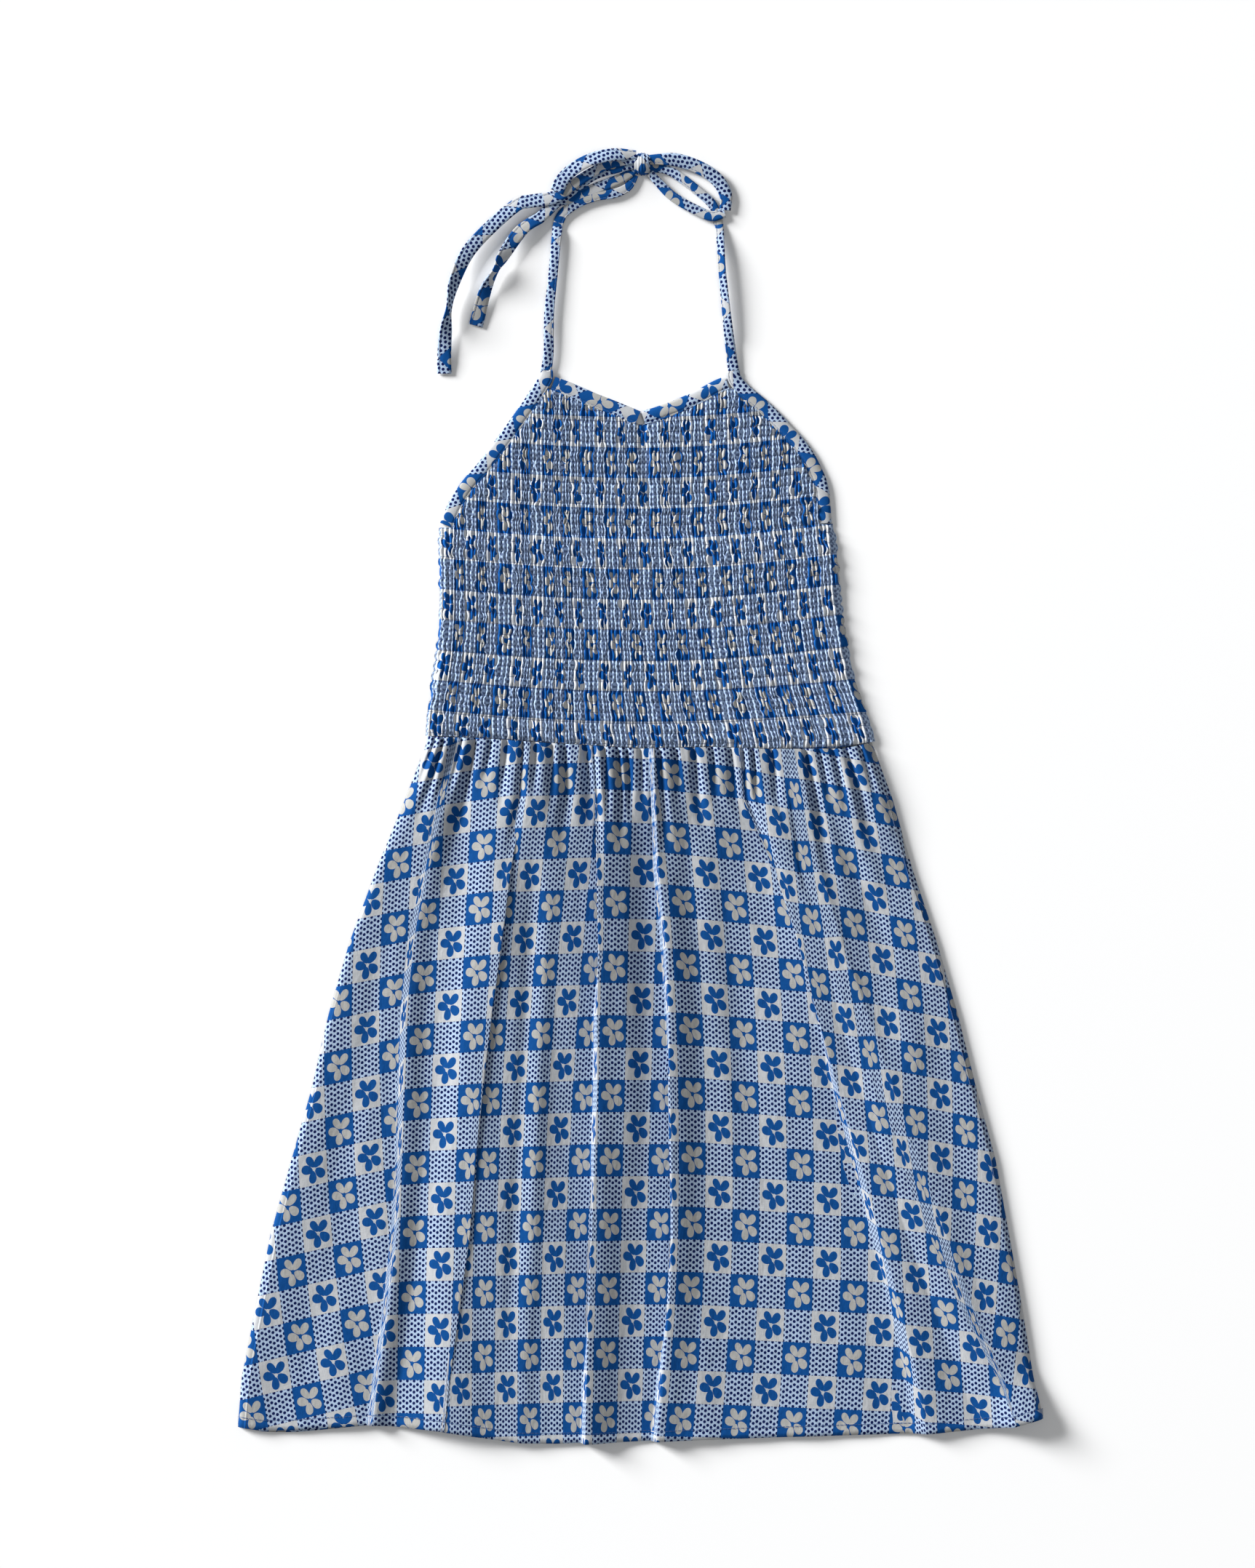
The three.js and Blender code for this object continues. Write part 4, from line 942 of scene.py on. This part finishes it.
# Ties and bow
# The armhole bindings run on as flat ties about 10 mm wide, folded and stitched along one edge. They are
# tied in a bow at the nape, whose long ends lie to the left of the dress.
# Each place on a tie is the x, y and z of the middle of its underside, its width and its turn on edge in
# degrees.
TIE_PATHS = {
    "tie_left_strap": [
        (-65.9, 292.0, 0.9, 7.6, 0), (-64.2, 305.5, 0.5, 7.0, 8), (-63.8, 331.5, 0.3, 6.8, 0),
        (-61.2, 357.5, 0.3, 6.4, 0), (-58.8, 383, 0.3, 6.8, -6), (-58, 391.6, 0.3, 7.2, 0),
    ],
    "tie_left_top": [
        (-58.0, 391.2, 0.3, 7.2, 0), (-56.4, 397, 0.3, 7.2, 0), (-51.8, 402.8, 0.3, 7.0, 0),
        (-41.2, 409, 0.3, 6.5, 0), (-29.8, 412.5, 0.3, 6.5, 0), (-18.2, 414.5, 0.3, 6.5, 0),
        (-9.5, 419, 0.5, 6.0, 0), (-4.6, 427.4, 1.0, 5.0, 0),
    ],
    "bow_loop_left_upper": [
        (-4, 440.0, 5.2, 6.0, 0), (-18, 440, 6.0, 9.0, 10), (-32.2, 437.4, 6.2, 9.4, 14),
        (-45.2, 431.2, 6.2, 9.4, 10), (-54, 423.5, 6.0, 9.4, 4), (-58.6, 414.6, 5.8, 9.6, 0),
    ],
    "bow_loop_left_lower": [
        (-4.6, 430.4, 2.0, 5.0, 0), (-14, 424.6, 1.6, 7.0, 0), (-29.8, 418.2, 1.5, 8.0, 0),
        (-45, 412.4, 1.5, 8.6, 0), (-58, 409.8, 1.5, 9.0, 0),
    ],
    "tie_end_short_inner": [
        (-4.6, 433.6, 3.4, 5.0, 0), (-18.2, 430.8, 3.2, 6.4, 0), (-32, 427, 3.0, 7.0, 0),
        (-44, 419.5, 3.0, 7.6, 0), (-56, 410.4, 3.0, 8.0, 0), (-63.4, 403.8, 2.9, 8.0, 0),
    ],
    "tie_end_long_inner": [
        (-4.6, 436.8, 5.0, 5.0, 0), (-22, 434, 4.7, 6.4, 0), (-34, 428.4, 4.6, 7.0, 0),
        (-46, 420.6, 4.5, 7.6, 0), (-58, 412, 4.5, 9.0, 0), (-67.4, 409.5, 4.1, 9.2, 0),
    ],
    "tie_end_long": [
        (-66.6, 409.6, 4.1, 9.2, 0), (-77.2, 408.4, 1.8, 9.4, 6), (-86.2, 405.8, 0.6, 9.5, 10),
        (-104.8, 390, 0.4, 9.5, 0), (-120.2, 372.5, 0.4, 9.5, -8), (-129.2, 352, 0.4, 8.8, -34),
        (-132.8, 335, 0.5, 7.0, -62), (-134.8, 320, 0.4, 8.8, -20), (-135.8, 304, 0.4, 9.6, 0),
        (-135.8, 290.5, 0.4, 9.8, 0),
    ],
    "tie_end_short": [
        (-62.8, 404.2, 2.9, 8.0, 0), (-70, 397.4, 1.2, 8.0, 0), (-78.4, 392.2, 0.4, 8.4, 8),
        (-86, 384.8, 0.4, 9.2, 0), (-96.2, 369.5, 0.4, 8.6, -28), (-100.8, 361, 0.5, 6.8, -60),
        (-107.8, 347, 0.4, 8.8, -22), (-114.2, 323.5, 0.4, 9.8, 0),
    ],
    "tie_right_strap": [
        (53, 393.2, 0.3, 5.8, 0), (54.2, 378, 0.3, 5.6, 20), (55.2, 360.5, 0.3, 5.6, 24),
        (58.8, 324.5, 0.3, 6.4, 10), (60.4, 310.5, 0.5, 6.9, 0), (62.9, 292.0, 0.9, 7.6, 0),
    ],
    "tie_right_top": [
        (4.6, 431.6, 0.8, 5.0, 0), (17, 430.4, 0.3, 6.0, 0), (27.2, 424.6, 0.3, 6.4, 0),
        (38.8, 415.5, 0.3, 6.4, 0), (47.6, 407.5, 0.3, 6.4, 0), (51.6, 399.5, 0.3, 6.0, 0),
        (52.8, 392.6, 0.3, 5.8, 0),
    ],
    "bow_loop_right_upper": [
        (4.4, 437.2, 3.0, 6.4, 0), (22.2, 437.2, 2.2, 9.0, 10), (38, 432.4, 1.8, 9.2, 12),
        (50.6, 424.5, 1.6, 9.2, 6), (57.4, 413.5, 1.6, 8.8, 0), (57.0, 402.6, 1.6, 7.6, 0),
    ],
    "bow_loop_right_lower": [
        (56.6, 401.2, 1.6, 7.2, 0), (47.8, 398.6, 1.6, 7.0, 0), (34.8, 404, 1.5, 6.8, 0),
        (21.2, 412, 1.6, 6.6, 0), (12.8, 420, 1.8, 6.2, 0), (5.6, 428, 2.4, 5.0, 0),
    ],
}
# How far the middle of a tie arches off the table, in mm.
TIE_ARCH = {
    "tie_left_strap": 2.0, "tie_right_strap": 2.5, "tie_end_long": 3.2, "tie_end_short": 2.8,
    "tie_left_top": 1.2, "tie_right_top": 1.2,
}
TIE_THICK = 1.15
# A tie's section, sideways as a share of half its width and up as a share of its thickness.
TIE_SECTION = np.array([
    (0.96, 0.1), (0.4, 0.0), (-0.4, 0.0), (-0.96, 0.1), (-1.0, 0.45), (-0.94, 0.85), (-0.72, 1.0),
    (-0.62, 0.84), (-0.5, 1.0), (0.0, 1.08), (0.55, 1.0), (0.94, 0.85), (1.0, 0.45), (0.96, 0.1),
])


def tie_piece(name, stations, number):
    """A stretch of tie and the line of its stitching."""
    line = soft_line(stations, 7)
    line[:, 2] += TIE_ARCH.get(name, 0.0) * np.sin(np.linspace(0, math.pi, len(line)))

    def section(k, share):
        width, tilt = line[k, 3], math.radians(line[k, 4])
        outline = TIE_SECTION * np.array([width / 2, TIE_THICK])
        turned = np.stack([
            outline[:, 0] * math.cos(tilt) - outline[:, 1] * math.sin(tilt),
            outline[:, 0] * math.sin(tilt) + outline[:, 1] * math.cos(tilt),
        ], axis=-1)
        turned[:, 1] += abs(math.sin(tilt)) * width / 2
        return turned

    seam = np.array([section(k, 0)[TIE_SEAM] for k in range(len(line))])
    return band_piece(name, line[:, :3], section, (0.37 * number, 0.61 * number)), beside(line, seam)


ties = {name: tie_piece(name, TIE_PATHS[name], number) for number, name in enumerate(TIE_PATHS)}

# Knot
# The tie wrapped once round the middle of the bow, pulled tight and creased.
KNOT = {"y": 434.4, "half": 5.4, "wide": 7.7, "high": 7.0, "lift": 0.35}


def bow_knot():
    line = soft_line([(x, KNOT["y"], 0) for x in (-KNOT["half"], -2.5, 0, 2.5, KNOT["half"])], 5)

    def section(k, share):
        swell = 0.8 + 0.2 * math.sin(share * math.pi) + 0.03 * math.sin(share * 31)
        turn = np.linspace(-0.12 * math.pi, 1.12 * math.pi, 21)
        up = np.clip(np.sin(turn), 0, 1) ** 0.8
        across, high = KNOT["wide"] * swell * np.cos(turn), KNOT["high"] * swell * up
        ring = np.stack([across, high + KNOT["lift"]], axis=-1)
        return np.vstack([ring, ring[:1]])

    return band_piece("bow_knot", line, section, (0.15, 0.4))


bow_knot()

# Stitching
# A row of small stitches in blue thread along the hem, and one along each binding and tie. The first one
# begins STITCH_START in from the end, and a stitch's ends stand up by STITCH_ENDS.
STITCH_START = 0.4
STITCH_ENDS = 0.02


def stitches(name, line, length=2.4, gap=0.7, wide=0.42, lift=0.1):
    """Small stitches that lie lift above a line of points in mm, and twice that in their middle."""
    walked = np.concatenate([[0], np.cumsum(np.linalg.norm(np.diff(line, axis=0), axis=1))])
    points, faces = [], []
    for begin in np.arange(STITCH_START, walked[-1] - length, length + gap):
        ends = np.array([begin, begin + length * 0.5, begin + length])
        along = np.stack([np.interp(ends, walked, line[:, axis]) for axis in range(3)], axis=-1)
        way = along[2] - along[0]
        way = way / max(np.linalg.norm(way), 1e-6)
        side = np.array([-way[1], way[0], 0]) * wide / 2
        n = len(points)
        for place, raised in zip(along, (STITCH_ENDS, lift, STITCH_ENDS)):
            points += [place + sign * side + UP * (raised + lift) for sign in (-1, 1)]
        faces += [(n, n + 1, n + 3, n + 2), (n + 2, n + 3, n + 5, n + 4)]
    return thread_piece(name, points, faces)


def hem_line():
    """The line on the front's hem that lies HEM_DEEP above its edge."""
    line = []
    for c in range(front_sheet.shape[1]):
        column = front_sheet[:SKIRT_ROWS, c]
        rise = column[:, 1] - column[-1, 1]
        k = int(np.argmin(np.abs(rise - HEM_DEEP)))
        line.append(column[k, :3] + np.array([0, HEM_DEEP - rise[k], 0.25]))
    return np.array(line)


hem_stitches = stitches("hem_stitches", hem_line())


for name, (strip, seam) in {**bindings, **ties}.items():
    sewn = stitches(name + "_stitches", seam, 2.0, 0.9, 0.3, 0.05)

# The solids under the cloth are made of it too.
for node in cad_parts.values():
    if not node.data.materials:
        node.data.materials.append(PANEL_COTTON)
